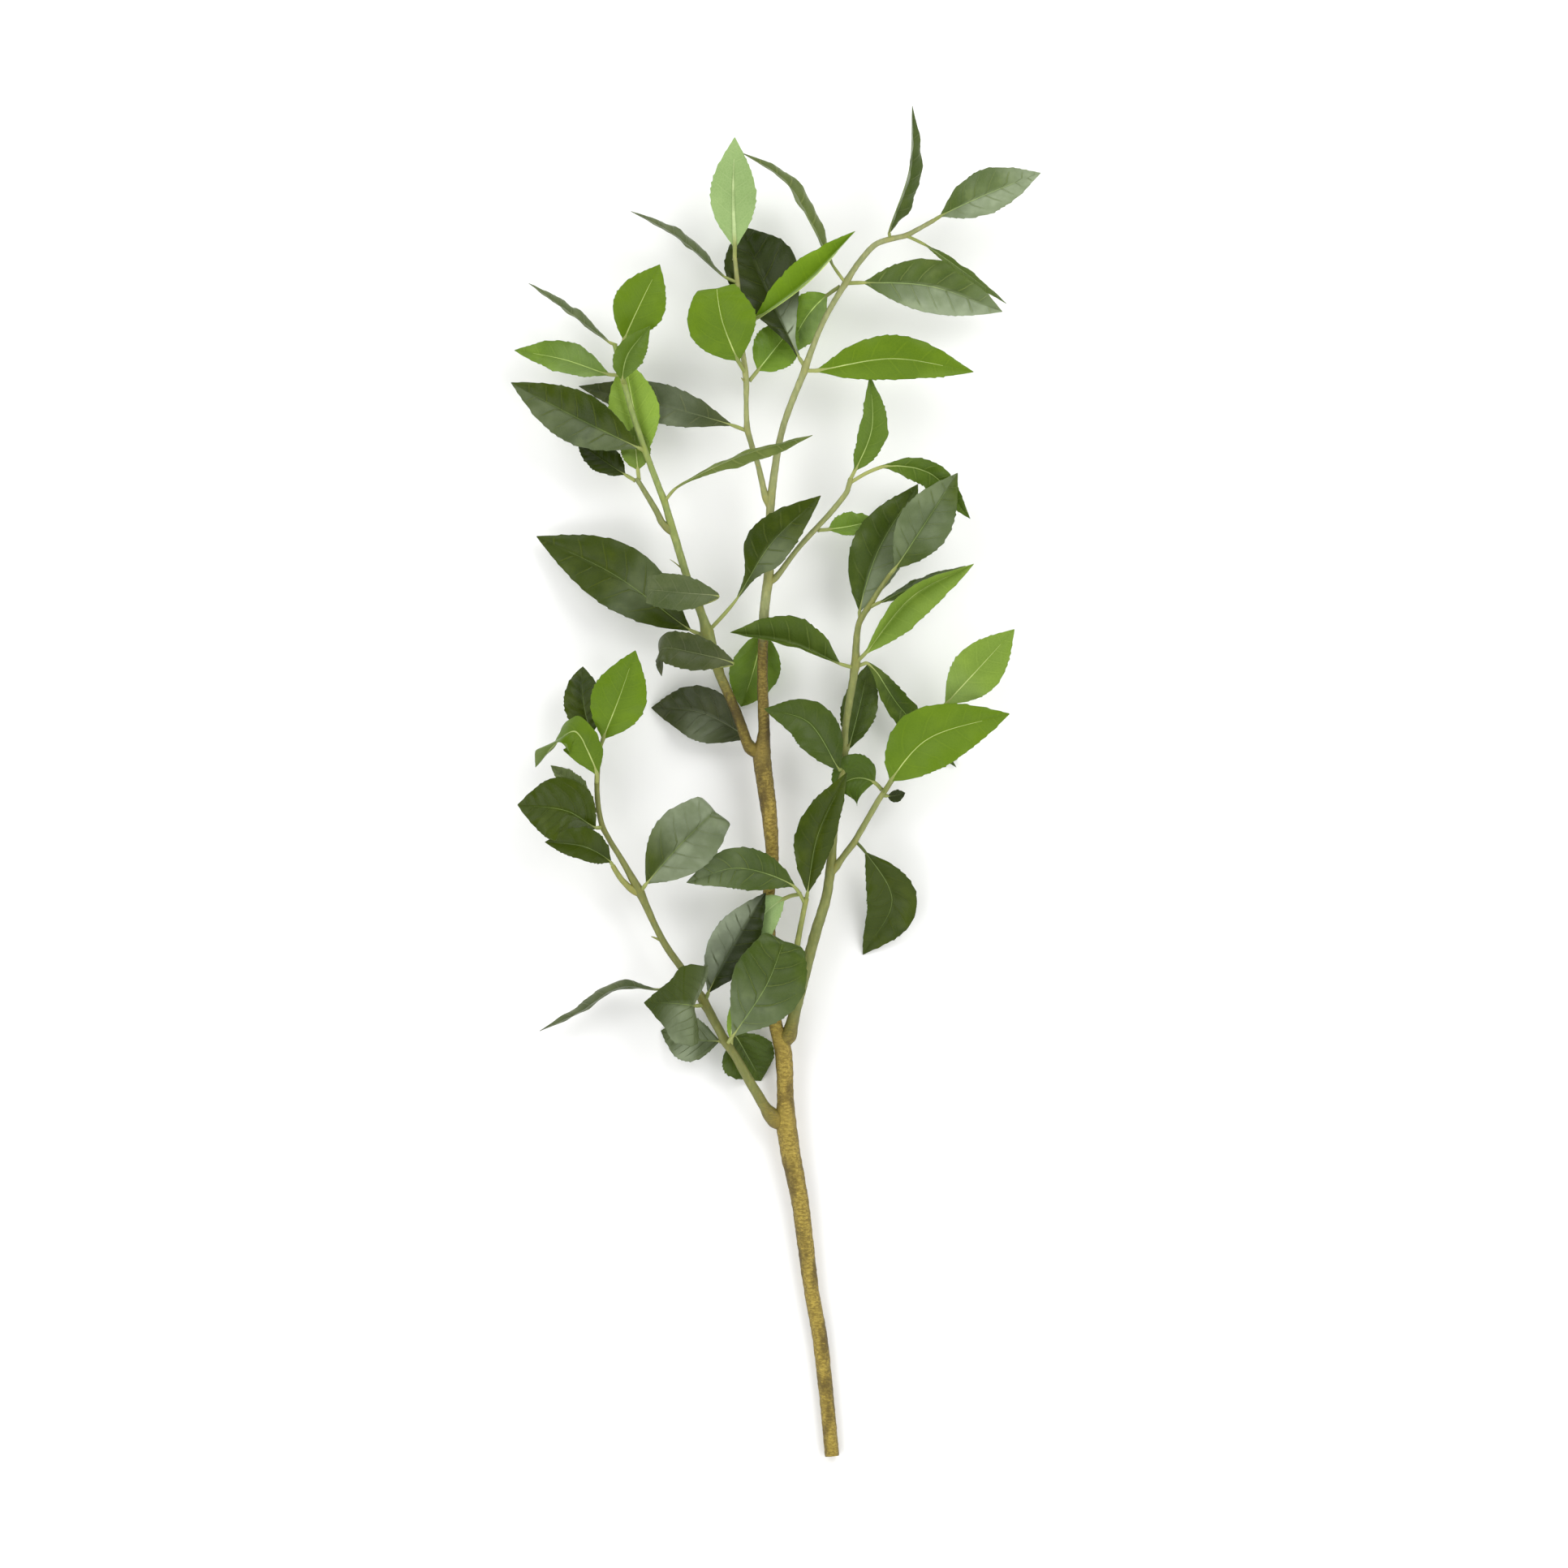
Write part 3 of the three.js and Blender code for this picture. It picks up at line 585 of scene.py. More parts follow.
def stemTint(name, share, woody, turn):
    # the colour multiplier at each point: from the foot's tone to the tip's, dimmed where
    # the bark is darker, with painted shade on the flanks and the top painted a little lighter
    low, high = (np.array(tone, dtype=float) for tone in stemStyle["tones"][name])
    duskFrom, duskTo, dusk = stemStyle["dusk"].get(name, (0.0, 1.0, 0.0))
    begun = smoothStep(duskFrom - 0.02, duskFrom + 0.03, share)
    dim = 1 - dusk * begun * (1 - smoothStep(duskTo - 0.03, duskTo + 0.03, share))
    greenFlankShade, barkFlankShade = stemStyle["flankShade"]
    # painted shade: darker on the sides seen from above, and a little lighter on the top
    paintedFlankShade = 1.06 - (greenFlankShade + barkFlankShade * woody) * np.abs(np.cos(turn)) ** 4
    colour = ((low + (high - low) * share) * dim)[:, None] * paintedFlankShade[:, :, None]
    return np.dstack([colour, np.ones(paintedFlankShade.shape)])


def fineStem(name):
    # a round profile carried along the stem's line, its radius multiplied by the growth above
    knots = stemLines[name] if name == "main_stem" else rootedKnots(name)
    centre, radius, along = fineLine(knots, stemStyle["spacingMm"] * mm)
    length = along[-1]
    ahead = unit(np.gradient(centre, axis=0))
    side = unit(np.cross(ahead, skyward))
    turn = np.linspace(0, fullTurn, stemStyle["around"], endpoint=False)
    outward = roundDirections(side, np.cross(side, ahead), turn)
    grow, fork = stemGrowth(name, centre, radius, along, outward)
    rings = centre[:, None] + outward * (radius[:, None] * grow)[:, :, None]
    # round off the far end, and cut the foot of the main stem flat with a small chamfer
    endSteps = np.array([0.92, 0.7, 0.35])
    heart = rings[-1:].mean(axis=1, keepdims=True)
    cap = heart + (rings[-1:] - heart) * endSteps[:, None, None]
    cap = cap + ahead[-1] * (radius[-1] * np.sqrt(1 - endSteps**2))[:, None, None]
    rings = np.concatenate([rings, cap])
    if name == "main_stem":
        heart = rings[:1].mean(axis=1, keepdims=True)
        cut = heart + (rings[:1] - heart) * np.array([0.45, 0.90])[:, None, None]
        rings[0] = heart[0] + (rings[0] - heart[0]) * 0.97
        rings = np.concatenate([cut, rings])
        along = np.concatenate([[0, 0], along])
        fork = np.concatenate([np.zeros((2, fork.shape[1])), fork])
    along = np.append(along, [length] * len(endSteps))
    fork = np.concatenate([fork, np.repeat(fork[-1:], len(endSteps), axis=0)])
    woodyTo, fade = stemStyle["woody"].get(name, (-1.0, 0.1))
    unevenBorder = ripple(np.broadcast_to(turn[:, None] / 3, fork.shape + (1,)), stemNames.index(name) + 9)
    woody = 1 - smoothStep(woodyTo - fade, woodyTo + fade, along[:, None] / length + 0.02 * unevenBorder)
    lengths = np.broadcast_to(along[:, None] / mm, fork.shape)
    turns = np.broadcast_to(turn / fullTurn, fork.shape)
    tint = stemTint(name, (along / length)[:, None], woody, turn)
    shell = tubeShell(rings, np.stack([lengths, turns, woody, fork], axis=-1), tint)
    material = barkMaterial if slotOf[name] == "bark" else twigMaterial
    return addPiece(name + "_skin", [shell], [material], name)


for name in stemNames:
    fineStem(name)
print("stems made")


leafStyle = {
    # the blade: its grid, thickness and teeth, how far each half bows up, and the bend radius below which
    # unevenness calms down
    "rows": 100, "columns": 20, "thickMm": 0.4, "teeth": 13, "toothMm": 1.15, "camber": 0.10, "creaseMm": 9,
    # unevenness: how many waves the edges have and how high, a swelling of the whole, and a pucker that is
    # high on the side veins and low between them
    "waves": 3.2, "waveMm": 0.8, "swellMm": 0.45, "puckerMm": 0.26,
    # the side veins on each half, how they slant and curve forward, and how strong they are
    "veinPairs": 7, "veinSlant": 0.50, "veinCurve": 1.5, "veins": 1.0,
    # the stalk's tone and half its width, and how thin the midrib ends, how high it stands, how far it runs
    "stalk": (158, 168, 96), "stalkMm": 1.25, "ribEnd": 0.22, "ribLiftMm": 0.12, "ribTo": 0.8,
    "ribRows": 56, "ribAround": 10,
    "light": 1.0,  # a multiplier for the tones
    # trims widen or narrow the blade, and painted sheens are silvery patches of painted reflection; each is
    # the side (1 left, -1 right, 0 both), the share along the leaf, the reach and the strength
    "trims": (), "paintedSheens": (),
}
leafChanges = {  # what sets single leaves apart from the usual one
    "crown_leaf_1": {"tone": "moss", "trims": ((0, 0.0, 0.3, 0.4),)},
    "crown_leaf_2": {"tone": "fern",
                     "paintedSheens": ((-1, 0.5, 0.6, 0.50), (0, 1.0, 0.35, 0.45), (1, 0.5, 0.3, 0.12))},
    "crown_leaf_3": {"tone": "fern", "light": 1.15, "trims": ((-1, 0.5, 0.7, -0.7),)},
    "crown_leaf_4": {"tone": "fern", "veins": 1.5, "paintedSheens": ((-1, 0.68, 0.50, 0.52), (0, 1.0, 0.22, 0.25))},
    "crown_leaf_5": {"tone": "olive"},
    "crown_leaf_6": {"tone": "deepest", "veins": 1.4, "light": 1.25, "paintedSheens": ((-1, 0.16, 0.17, 0.75),)},
    "crown_leaf_7": {"tone": "bright", "veins": 0.4},
    "upper_leaf_1": {"tone": "bright", "veins": 0.3, "light": 1.35, "paintedSheens": ((-1, 0.5, 0.5, 0.30),)},
    "upper_leaf_2": {"tone": "pale", "veins": 0.25, "light": 1.12},
    "upper_leaf_3": {"tone": "grey", "light": 1.05},
    "upper_leaf_4": {"tone": "bright", "veins": 0.4},
    "upper_leaf_5": {"tone": "slate", "light": 1.25, "paintedSheens": ((0, 0.45, 0.22, 0.20),)},
    "left_leaf_1": {"tone": "bright", "veins": 0.4},
    "left_leaf_2": {"tone": "leafy", "veins": 0.4},
    "left_leaf_3": {"tone": "grey", "light": 1.3},
    "left_leaf_4": {"tone": "leafy", "veins": 0.5, "light": 1.35, "paintedSheens": ((0, 0.3, 0.3, 0.12),)},
    "left_leaf_5": {"tone": "deep", "veins": 1.2, "paintedSheens": ((1, 0.5, 0.7, 0.15),)},
    "left_leaf_6": {"tone": "lime", "veins": 0.5, "light": 1.4},
    "left_leaf_7": {"tone": "olive", "light": 1.3},
    "left_leaf_8": {"tone": "deep", "veins": 1.1, "paintedSheens": ((0, 0.35, 0.12, 0.10),)},
    "left_leaf_9": {"tone": "grey", "veins": 0.6},
    "left_leaf_10": {"tone": "deep", "trims": ((0, 0.05, 0.28, -0.72),),
                     "paintedSheens": ((-1, 0.42, 0.2, 0.16), (0, 0.0, 0.15, 0.1))},
    "left_leaf_11": {"tone": "slate", "veins": 0.7},
    "middle_leaf_1": {"tone": "slate", "light": 0.76, "veins": 1.2, "paintedSheens": ((1, 0.45, 0.2, 0.14),)},
    "middle_leaf_2": {"tone": "leafy", "veins": 0.5},
    "middle_leaf_3": {"tone": "leafy", "light": 0.85},
    "right_leaf_1": {"tone": "moss", "veins": 1.2, "light": 1.35},
    "right_leaf_2": {"tone": "moss", "veins": 0.5},
    "right_leaf_3": {"tone": "moss", "veins": 0.6},
    "right_leaf_4": {"tone": "lime", "veins": 0.3, "light": 1.05},
    "right_leaf_5": {"tone": "moss", "light": 1.3},
    "right_leaf_6": {"tone": "moss", "veins": 0.6, "light": 1.3},
    "right_leaf_7": {"tone": "moss", "paintedSheens": ((-1, 0.18, 0.25, 0.32), (-1, 0.5, 0.2, 0.14))},
    "right_leaf_8": {"tone": "moss", "paintedSheens": ((1, 0.5, 0.6, 0.20), (-1, 0.5, 0.22, 0.20))},
    "side_leaf_1": {"tone": "lime", "veins": 0.35, "light": 1.12, "paintedSheens": ((0, 0.15, 0.2, 0.10),)},
    "side_leaf_2": {"tone": "bright", "veins": 0.35, "light": 0.98, "trims": ((1, 0.66, 0.22, -0.1),)},
    "side_leaf_3": {"tone": "deep", "veins": 0.6, "stalk": (92, 106, 50), "stalkMm": 1.0},
    "centre_leaf_1": {"tone": "deep", "veins": 0.6},
    "centre_leaf_2": {"tone": "moss", "veins": 1.5, "paintedSheens": ((0, 1.0, 0.55, 0.15),)},
    "low_leaf_1": {"tone": "deepest", "veins": 1.2, "paintedSheens": ((1, 0.5, 0.4, 0.48), (1, 0.1, 0.3, 0.2))},
    "low_leaf_2": {"tone": "moss", "veins": 1.6, "paintedSheens": ((0, 0.08, 0.35, 0.17),)},
    "low_leaf_3": {"tone": "moss", "light": 1.25},
    "low_leaf_4": {"tone": "deep", "veins": 1.3, "paintedSheens": ((0, 0.45, 0.5, 0.20), (1, 0.5, 0.22, 0.42))},
    "low_leaf_5": {"tone": "deep",
                   "trims": ((-1, 0.78, 0.26, -0.38), (-1, 0.05, 0.2, 0.2), (1, 0.8, 0.25, -0.2)),
                   "paintedSheens": ((1, 0.45, 0.22, 0.25), (-1, 0.08, 0.2, 0.35))},
    "low_leaf_6": {"tone": "grey", "light": 0.88},
    "low_leaf_7": {"tone": "bright", "veins": 0.4},
    "low_leaf_8": {"tone": "bright", "veins": 0.4, "light": 0.82, "toothMm": 0.4,
                   "trims": ((-1, 0.42, 0.2, -0.3), (0, 0.86, 0.16, 0.5))},
    "low_leaf_9": {"tone": "deep", "veins": 0.9},
    "low_leaf_10": {"tone": "deep", "veins": 1.0, "paintedSheens": ((1, 0.68, 0.33, 0.40), (-1, 0.35, 0.5, 0.38))},
    "low_leaf_11": {"tone": "deep", "veins": 0.5},
    "upper_sister_1": {"tone": "leafy", "veins": 0.4, "light": 1.5},
    "crown_sister_1": {"tone": "leafy", "veins": 0.4, "light": 1.8, "paintedSheens": ((1, 0.3, 0.5, 0.2),)},
    "left_sister_1": {"tone": "lime", "veins": 0.5, "light": 0.75},
    "left_sister_2": {"tone": "deepest", "light": 1.3},
    "middle_sister_1": {"tone": "leafy", "veins": 0.4, "light": 1.3},
    "middle_sister_2": {"tone": "leafy", "veins": 0.4, "light": 1.4},
    "side_sister_1": {"tone": "deepest", "teeth": 4},
    "side_sister_2": {"tone": "leafy", "light": 0.72},
    "centre_sister_1": {"tone": "pale", "veins": 0.2, "light": 1.1},
    "low_sister_1": {"tone": "lime", "teeth": 3, "veins": 0.0, "light": 1.3},
    "low_sister_2": {"tone": "deep"},
    "low_sister_3": {"tone": "grey", "light": 2.0},
}


def toothed(s, count, dice):
    # a saw that rises slowly towards the tip and drops fast, with teeth of uneven spacing and depth
    at = s * count + 0.45 * np.sin(fullTurn * (s * 2.3 + dice.uniform())) + 1
    depth = dice.uniform(0.25, 1.0, count + 4)[np.floor(at).astype(int)]
    return depth * (at % 1) ** 1.6 * np.minimum(1, (1 - at % 1) * 6)


def trimmedLine(look, knots, s):
    # the spine and the edge vector of either side at each share s of the blade, after the trims
    lines = alongKnots(knots, bladeFrom + s * (len(knots) - 1 - bladeFrom))
    edgesOn = {1: [1], -1: [2], 0: [1, 2]}
    for side, middle, spread, strength in look["trims"]:
        lines[:, edgesOn[side]] *= (1 + strength * np.exp(-((s - middle) / spread) ** 4))[:, None, None]
    return lines[:, 0], lines[:, 1], lines[:, 2]


def creaseCalm(look, ahead, length):
    # 1 where the blade runs straight, falling towards 0 where it turns sharply
    turning = np.linalg.norm(np.gradient(ahead, axis=0), axis=1) * len(ahead) / length
    calm = np.convolve(1 / (1 + (turning * look["creaseMm"] * mm) ** 2), np.ones(5) / 5, mode="same")
    calm[:2], calm[-2:] = calm[2], calm[-3]
    return calm


def bladeFace(look, line, s, v, seed):
    # The blade is a function of the share s from base to tip and the place v from -1 to 1 across it:
    # spine(s) + |v| times the edge vector of that side, with teeth on the edge, plus four heights: a camber
    # that bows each half upward, a wave that grows towards the edge, a swelling, and a pucker that follows
    # the cosine of the vein phase. The heights calm down where the leaf is creased. The vein phase grows
    # along the leaf and is a whole number on each side vein.
    dice = np.random.default_rng(seed)
    spine, leftEdge, rightEdge = line
    onLeft, reach = v > 0, np.abs(v)
    length = np.linalg.norm(np.diff(spine, axis=0), axis=1).sum()
    ahead = unit(np.gradient(spine, axis=0))
    up = unit(np.cross(ahead, unit(leftEdge - rightEdge)))
    half = np.linalg.norm(leftEdge - rightEdge, axis=1) / 2

    def slim(fullMm):
        # less of everything where the blade is narrower than this on each side
        return np.minimum(1, half / (fullMm * mm))

    toothSize = slim(6) * look["toothMm"] * mm
    leftTooth = toothed(s, look["teeth"], dice) * toothSize
    rightTooth = toothed(s, look["teeth"], dice) * toothSize
    tooth = np.where(onLeft, leftTooth[:, None], rightTooth[:, None])
    edge = np.where(onLeft[None, :, None], leftEdge[:, None], rightEdge[:, None])
    flat = spine[:, None] + edge * reach[None, :, None] + unit(edge) * (tooth * reach**6)[:, :, None]
    bow = look["camber"] * half[:, None] * 4 * reach * (1 - reach * 0.62)
    shifts = dice.uniform(0, fullTurn, 4)
    beat = fullTurn * look["waves"] * s
    leftWave = np.sin(beat + shifts[0]) + 0.6 * np.sin(beat * 1.7 + shifts[1])
    rightWave = np.sin(beat + shifts[2]) + 0.6 * np.sin(beat * 1.7 + shifts[3])
    wave = np.where(onLeft, leftWave[:, None], rightWave[:, None]) * reach**3 * look["waveMm"] * mm * 0.75
    wave = wave * slim(9)[:, None]
    # the side veins lean forward as they go out, waver, and alternate between the two sides
    gone = reach[None, :] * half[:, None] / length
    leftDrift = 0.16 * np.sin(9 * s + shifts[0])
    rightDrift = 0.16 * np.sin(8 * s + shifts[1]) + 0.4
    drift = np.where(onLeft, leftDrift[:, None], rightDrift[:, None])
    forward = s[:, None] - look["veinSlant"] * gone - look["veinCurve"] * gone**2
    phase = look["veinPairs"] * forward + drift + 20.5  # 20.5 keeps it above zero
    pucker = np.cos(fullTurn * phase) * look["puckerMm"] * mm * np.sin(math.pi * reach) * look["veins"]
    pucker = pucker * (smoothStep(0.02, 0.15, s) * (1 - smoothStep(0.85, 1.0, s)) * slim(10))[:, None]
    spread = np.stack(np.broadcast_arrays(s[:, None] * 1.6, v[None, :] * 0.55), axis=-1)
    swell = ripple(spread, seed) * look["swellMm"] * mm * (reach * slim(10)[:, None])
    calm = creaseCalm(look, ahead, length)[:, None]
    face = flat + up[:, None] * ((bow + wave + pucker + swell) * calm)[:, :, None]
    normal = unit(np.cross(np.gradient(face, axis=0), np.gradient(face, axis=1)))
    normal = normal * np.sign((normal * up[:, None]).sum(axis=-1, keepdims=True) + 1e-9)
    return face, normal, phase


def paintedSheenMask(look, s, v):
    # the painted sheen, silvery patches of painted reflection: each fades along the leaf like a bell and ends
    # at the midrib if it is on one side
    paintedSheen = np.zeros((len(s), len(v)))
    for side, middle, spread, strength in look["paintedSheens"]:
        onSide = 1.0 if side == 0 else smoothStep(-0.10, 0.12, v * side)[None, :]
        along = np.exp(-np.abs((s - middle) / spread) ** 3)[:, None]
        paintedSheen = np.maximum(paintedSheen, strength * onSide * along)
    return paintedSheen


def surfaceTone(tone):
    # the colour of a surface that looks like this tone in the studio
    return np.maximum(np.array(linear(*tone)) - glare, 0.002) / lightShare


def bladeTint(tone, light, paintedSheen):
    colour = np.broadcast_to(surfaceTone(tone)[:3] * light, paintedSheen.shape + (3,))
    return np.dstack([colour, paintedSheen]).reshape(-1, 4)


def fineMidrib(look, knots, ribMm, ribTone):
    # Stalk and midrib are a tapering oval profile along the leaf's line, which starts inside the stem and
    # rises on to the blade.
    bladeSpan = look["ribTo"] * (len(knots) - 1 - bladeFrom)
    t = np.linspace(0, bladeFrom + bladeSpan, look["ribRows"])
    line = alongKnots(knots, t)
    centre = line[:, 0]
    ahead = unit(np.gradient(centre, axis=0))
    up = unit(np.cross(ahead, unit(line[:, 1] - line[:, 2])))
    across = np.cross(up, ahead)
    onBlade = np.clip((t - bladeFrom) / bladeSpan, 0, 1)
    ribWidth = ribMm * (look["ribEnd"] + (1 - look["ribEnd"]) * (1 - onBlade))
    fat = (ribWidth + (look["stalkMm"] - ribMm) * (1 - smoothStep(-1.0, 1.0, t - bladeFrom))) * mm
    tall = np.minimum(fat * 0.8, (0.45 + 0.8 * (1 - smoothStep(0, 0.12, onBlade))) * mm)
    rise = (look["thickMm"] / 2 + look["ribLiftMm"] * (1 - onBlade)) * mm - tall * 0.8
    rise = np.where(t < bladeFrom, 0, rise) * smoothStep(0, 0.12, onBlade)
    turn = np.linspace(0, fullTurn, look["ribAround"], endpoint=False)
    sideways = across[:, None] * (np.cos(turn)[None, :] * fat[:, None])[:, :, None]
    upward = up[:, None] * (np.sin(turn)[None, :] * tall[:, None] + rise[:, None])[:, :, None]
    rings = centre[:, None] + sideways + upward
    heel = centre[0] - ahead[0] * 1.5 * mm
    rings = np.concatenate([(rings[:1] - centre[0]) * 1.15 + heel, rings])
    ribShare = np.append(0, smoothStep(0.0, 0.22, onBlade))[:, None]
    stalkTone = surfaceTone(look["stalk"])
    tint = stalkTone * (1 - ribShare) + surfaceTone(ribTone) * look["light"] * ribShare
    tint = np.repeat(tint, look["ribAround"], axis=0)
    tint[:, 3] = 0  # no painted sheen
    noVeins = (0.5, 1.0, 0.0, 1.0)
    return tubeShell(rings, noVeins, tint, 1)


def fineLeaf(name, knots, slot, node=None):
    look = dict(leafStyle, **leafChanges.get(name, {}))
    seed = sum(ord(letter) * (k + 3) for k, letter in enumerate(name))  # each leaf has its own
    s = np.linspace(0, 0.997, look["rows"])
    x = np.linspace(-1, 1, look["columns"] + 1)
    v = x * (1.35 - 0.35 * x**2)  # closer together towards the edges
    face, normal, phase = bladeFace(look, trimmedLine(look, knots, s), s, v, seed)
    thick = look["thickMm"] * mm / 2 * (1 - 0.55 * np.abs(v) ** 4)[None, :, None]
    points, quads = doubleSkin(face, normal * thick)
    across = np.broadcast_to(v[None, :], phase.shape)
    share = np.broadcast_to(s[:, None], phase.shape)
    contrast = np.full(phase.shape, look["veins"])
    shape = np.stack([phase, across, contrast, share], axis=-1).reshape(-1, 4)
    topTone, underTone, ribTone, ribMm = leafTones[look.get("tone", usualTones[slot])]
    # painted sheen: silvery patches of painted reflection, half as strong on the underside
    paintedSheen = paintedSheenMask(look, s, v)
    tint = [bladeTint(topTone, look["light"], paintedSheen), bladeTint(underTone, look["light"], paintedSheen * 0.5)]
    blade = {"points": points, "quads": quads, "fans": np.zeros((0, 3), dtype=np.int64), "slot": 0,
             "shape": np.concatenate([shape, shape]), "tint": np.concatenate(tint)}
    midrib = fineMidrib(look, knots, ribMm, ribTone)
    return addPiece(name + "_blade", [blade, midrib], [leafMaterials[slot], stalkMaterial], node)


for name in leafNames:
    fineLeaf(name, leafLines[name], slotOf[name], name)
print("leaves made")


sisterStyle = {"bladeSteps": 11, "fold": 0.16, "heelMm": 0.9}
sisterLeaves = {
    # each: stem, share along it, heading in plan, rise, bend (all in degrees), length and width in mm, roll,
    # and haste, which is below 1 where the bend comes early; and its slot
    "upper_sister_1": (("upper_left_twig", 0.482, 52, -16, 0, 50, 27, 0, 1.0), "leaf_green"),
    "crown_sister_1": (("main_stem", 0.915, -152, -24, 48, 60, 25, 10, 1.0), "leaf_green"),
    "left_sister_1": (("left_fork_twig", 0.97, 96, -6, 0, 34, 17, 0, 1.0), "leaf_bright"),
    "left_sister_2": (("left_fork_twig", 0.97, 150, -20, -8, 48, 18, 20, 1.0), "leaf_dark"),
    "middle_sister_1": (("main_stem", 0.655, -96, -24, -16, 66, 30, -10, 1.0), "leaf_green"),
    "middle_sister_2": (("middle_right_twig", 0.513, 4, -36, 14, 48, 16, -30, 1.0), "leaf_green"),
    "side_sister_1": (("right_side_twig", 0.49, -8, -12, 30, 14, 7, 20, 1.0), "leaf_dark"),
    "side_sister_2": (("right_side_twig", 0.50, 124, -8, 112, 35, 31, -10, 1.0), "leaf_green"),
    "centre_sister_1": (("centre_twig", 0.995, 138, -3, 112, 66, 22, 0, 0.3), "leaf_bright"),
    "low_sister_1": (("lower_left_branch", 0.20, 88, 22, 0, 31, 5, 0, 1.0), "leaf_bright"),
    "low_sister_2": (("lower_left_branch", 0.99, 116, -14, -30, 56, 23, 0, 1.0), "leaf_dark"),
    "low_sister_3": (("lower_left_branch", 0.843, 132, -12, 6, 43, 14, 40, 1.0), "leaf_dark"),
}


def sproutFrom(stem, share):
    # the middle and the radius of a stem at a share of its length
    centre, radius = fineLine(stemLines[stem], mm)[:2]
    row = int(share * (len(centre) - 1))
    return centre[row], radius[row]


def headings(turn, climb):
    # unit directions from their headings in plan and one angle of rise
    return np.column_stack([np.cos(turn) * math.cos(climb), np.sin(turn) * math.cos(climb),
                            np.full(len(turn), math.sin(climb))])


def sisterKnots(stem, share, heading, rise, bend, lengthMm, widthMm, roll, haste):
    # A leaf line that starts in a stem: its heading turns by the bend on the way to the tip, and its width
    # swells and closes like the sine of its share.
    middle, radius = sproutFrom(stem, share)
    bladeSteps = sisterStyle["bladeSteps"]
    last = bladeSteps + bladeFrom
    steps = np.arange(last + 1) / last
    ahead = headings(np.radians(heading + bend * steps**haste), math.radians(rise))
    spine = middle + ahead[0] * radius * 0.6 + np.cumsum(ahead, axis=0) * lengthMm * mm / len(steps)
    level = unit(np.cross(skyward, ahead))
    above = np.cross(ahead, level)
    tilt = math.radians(roll)
    side = level * math.cos(tilt) + above * math.sin(tilt)
    up = above * math.cos(tilt) - level * math.sin(tilt)
    blade = np.clip((steps * last - bladeFrom) / bladeSteps, 0, 1)
    half = np.sin(math.pi * blade**0.9) ** 0.85 * widthMm * mm / 2 + sisterStyle["heelMm"] * mm * (1 - blade)
    half = np.clip(half, 0.05 * mm, None)[:, None]
    lift = up * half * sisterStyle["fold"]
    return np.stack([spine, side * half + lift, -side * half + lift], axis=1)


for name, (place, slot) in sisterLeaves.items():
    fineLeaf(name, sisterKnots(*place), slot)
print("sister leaves made")


sprigStyle = {"rows": 14, "around": 10, "bend": 14, "fork": 0.6, "tint": (0.72, 0.74, 0.6, 1.0)}
sprigs = {  # each: stem, share along it, heading in plan, rise in degrees, length and radius in mm
    "bare_sprig": ("left_branch", 0.446, 133, 8, 13, 0.55),
    "bract_1": ("lower_left_branch", 0.50, 148, 10, 9, 1.0),
    "bract_2": ("lower_left_branch", 0.30, 120, 30, 5, 1.1),
    "bract_3": ("upper_left_twig", 0.485, 120, 25, 6, 0.9),
    "bract_4": ("right_branch", 0.62, 20, 30, 5, 1.0),
}


def fineSprig(name, stem, share, heading, rise, lengthMm, radiusMm):
    # a thin spike that starts in a stem, bends a little, and tapers like a square root to its tip
    middle = sproutFrom(stem, share)[0]
    steps = np.linspace(0, 1, sprigStyle["rows"])
    ahead = headings(np.radians(heading + sprigStyle["bend"] * steps), math.radians(rise))
    spine = middle + np.cumsum(ahead, axis=0) * lengthMm * mm / len(steps)
    side = unit(np.cross(skyward, ahead))
    turn = np.linspace(0, fullTurn, sprigStyle["around"], endpoint=False)
    outward = roundDirections(side, np.cross(ahead, side), turn)
    fat = radiusMm * mm * (0.08 + 0.92 * np.sqrt(1 - steps))
    green = (0.0, 0.0, 0.0, sprigStyle["fork"])
    shell = tubeShell(spine[:, None] + outward * fat[:, None, None], green, sprigStyle["tint"])
    return addPiece(name + "_spike", [shell], [twigMaterial])


for name, place in sprigs.items():
    fineSprig(name, *place)
print("sprigs made")


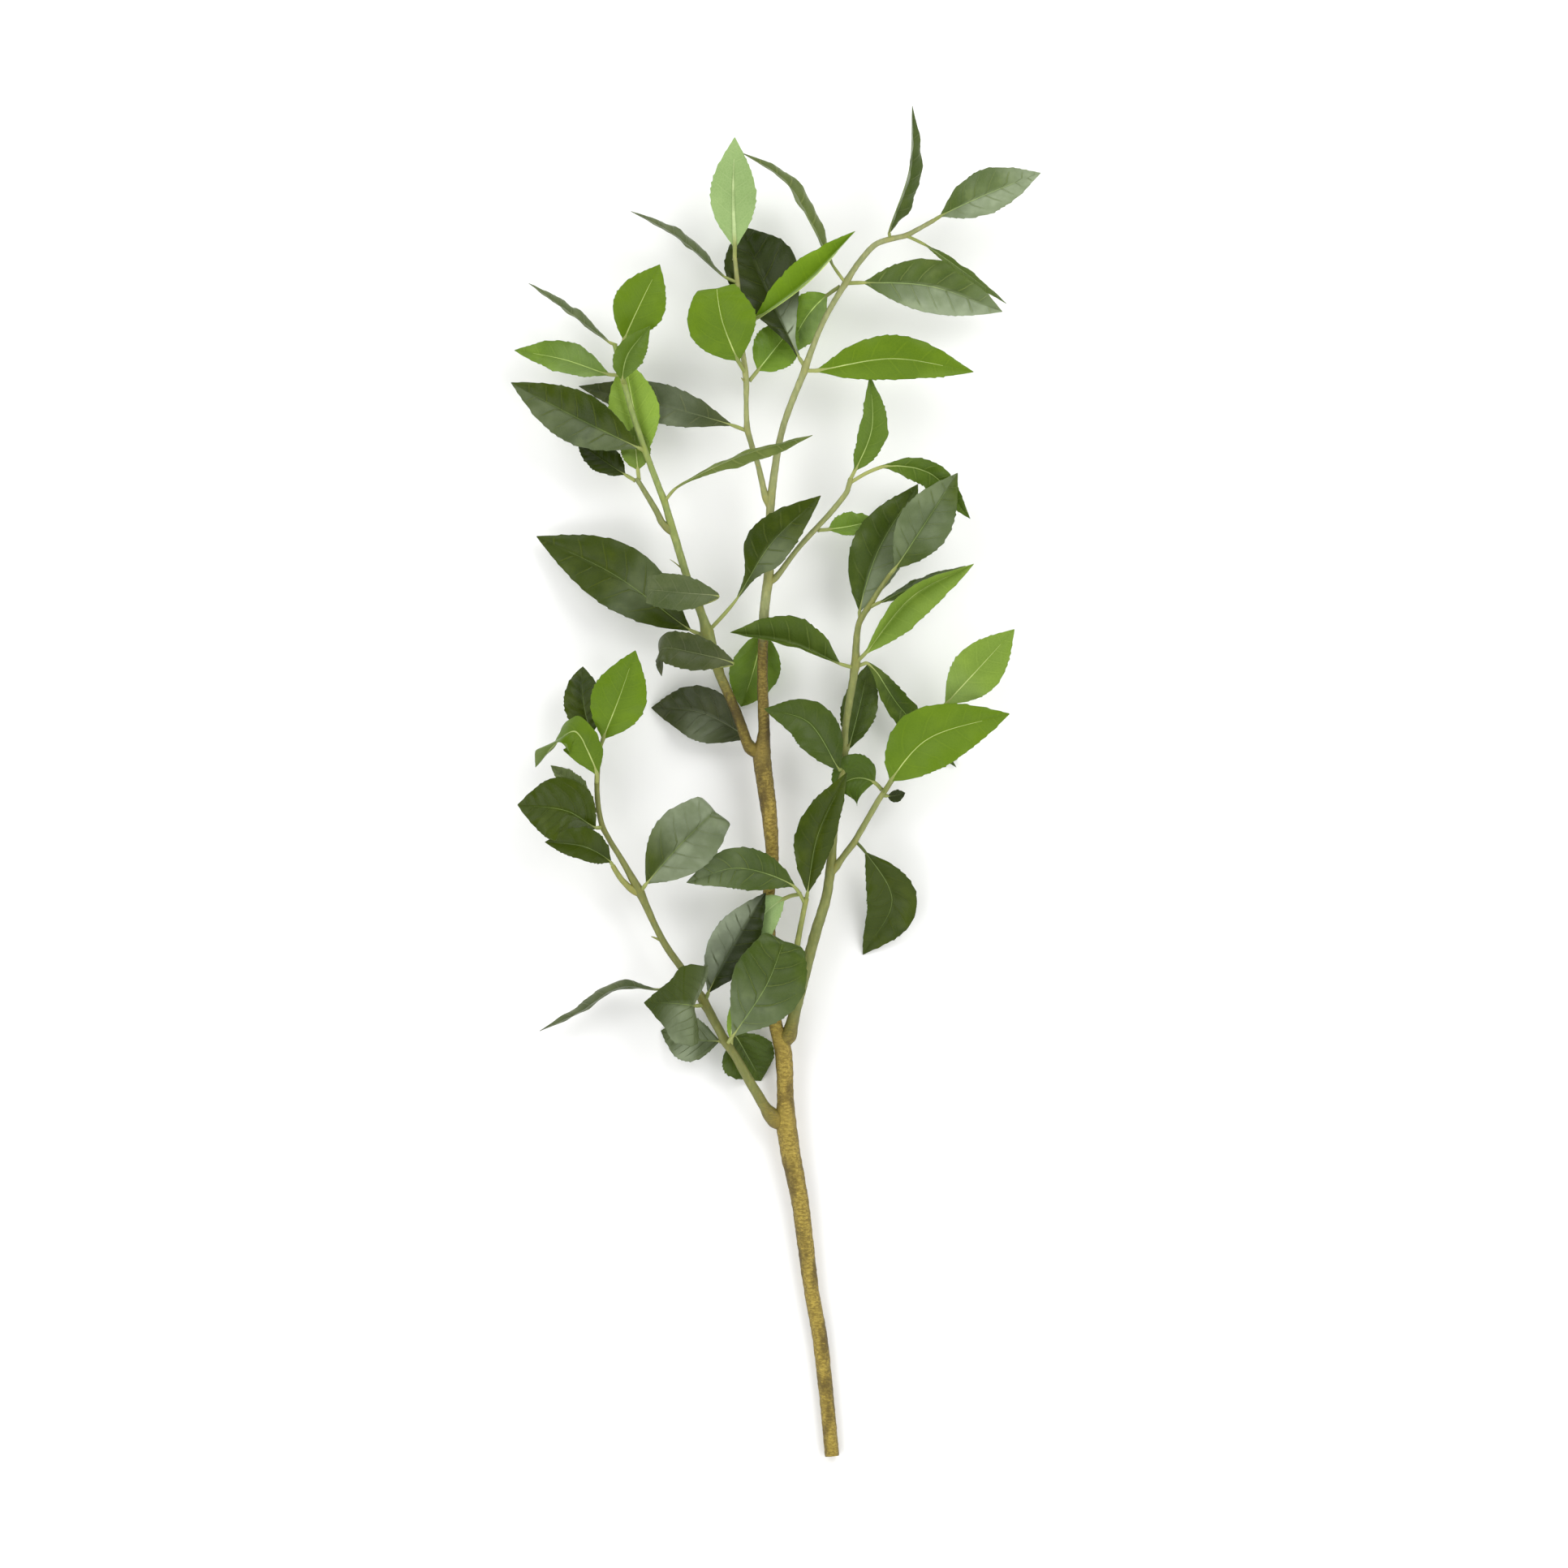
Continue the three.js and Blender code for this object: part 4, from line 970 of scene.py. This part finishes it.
studio = {
    "floor": linear(251, 251, 250), "floorHalf": 8,
    "cameraHeight": 6.0, "lens": 222.5, "sensor": 36, "aimX": 0.00525, "aimY": 0.0,
    # the sky's brightness overhead and lower down, and the heights, as a sine, between which it changes
    "skyAbove": 0.25, "skyAround": 1.2, "skyFrom": 0.70, "skyTo": 0.96,
    # four soft boxes: each one's place across and along in metres, and its watts
    "boxSize": 1.3, "boxHeight": 2.0,
    "boxes": {"northEastBox": (1.3, 1.3, 19), "northWestBox": (-1.3, 1.3, 11),
              "southWestBox": (-1.3, -1.3, 11), "southEastBox": (1.3, -1.3, 7)},
}


def layFloor():
    far = studio["floorHalf"]
    mesh = bpy.data.meshes.new("floor")
    mesh.from_pydata([(-far, -far, 0), (far, -far, 0), (far, far, 0), (-far, far, 0)], [], [(0, 1, 2, 3)])
    material = bpy.data.materials.new("paleFloor")
    material.use_nodes = True
    shader = material.node_tree.nodes["Principled BSDF"]
    shader.inputs["Base Color"].default_value = studio["floor"]
    shader.inputs["Roughness"].default_value = 0.9
    mesh.materials.append(material)
    addObject("floor", mesh)


def lightSky():
    world = bpy.data.worlds.new("softStudio")
    bpy.context.scene.world = world
    world.use_nodes = True
    w = Wiring(world.node_tree)
    background = world.node_tree.nodes["Background"]
    direction = w.add("ShaderNodeTexCoord").outputs["Generated"]
    height = w.add("ShaderNodeSeparateXYZ", {"Vector": direction}).outputs["Z"]
    strength = w.ramp(height, studio["skyFrom"], studio["skyTo"], studio["skyAround"], studio["skyAbove"])
    w.feed(background.inputs["Strength"], strength)
    w.feed(background.inputs["Color"], (1.0, 1.0, 1.0, 1.0))


def softLight(name, place, watts):
    data = bpy.data.lights.new(name, "AREA")
    data.size = studio["boxSize"]
    data.energy = watts
    light = addObject(name, data)
    light.location = place
    light.rotation_euler = (-Vector(place)).to_track_quat("-Z", "Y").to_euler()


def placeCamera():
    # straight above the branch, looking down
    camera = addObject("camera", bpy.data.cameras.new("camera"))
    camera.location = (studio["aimX"], studio["aimY"], studio["cameraHeight"])
    camera.rotation_euler = (0, 0, 0)
    camera.data.sensor_width = studio["sensor"]
    camera.data.lens = studio["lens"]
    camera.data.clip_end = 50
    bpy.context.scene.camera = camera


layFloor()
lightSky()
for name, (x, y, watts) in studio["boxes"].items():
    softLight(name, (x, y, studio["boxHeight"]), watts)
placeCamera()
bpy.context.scene.view_settings.view_transform = "Standard"
print("studio made")
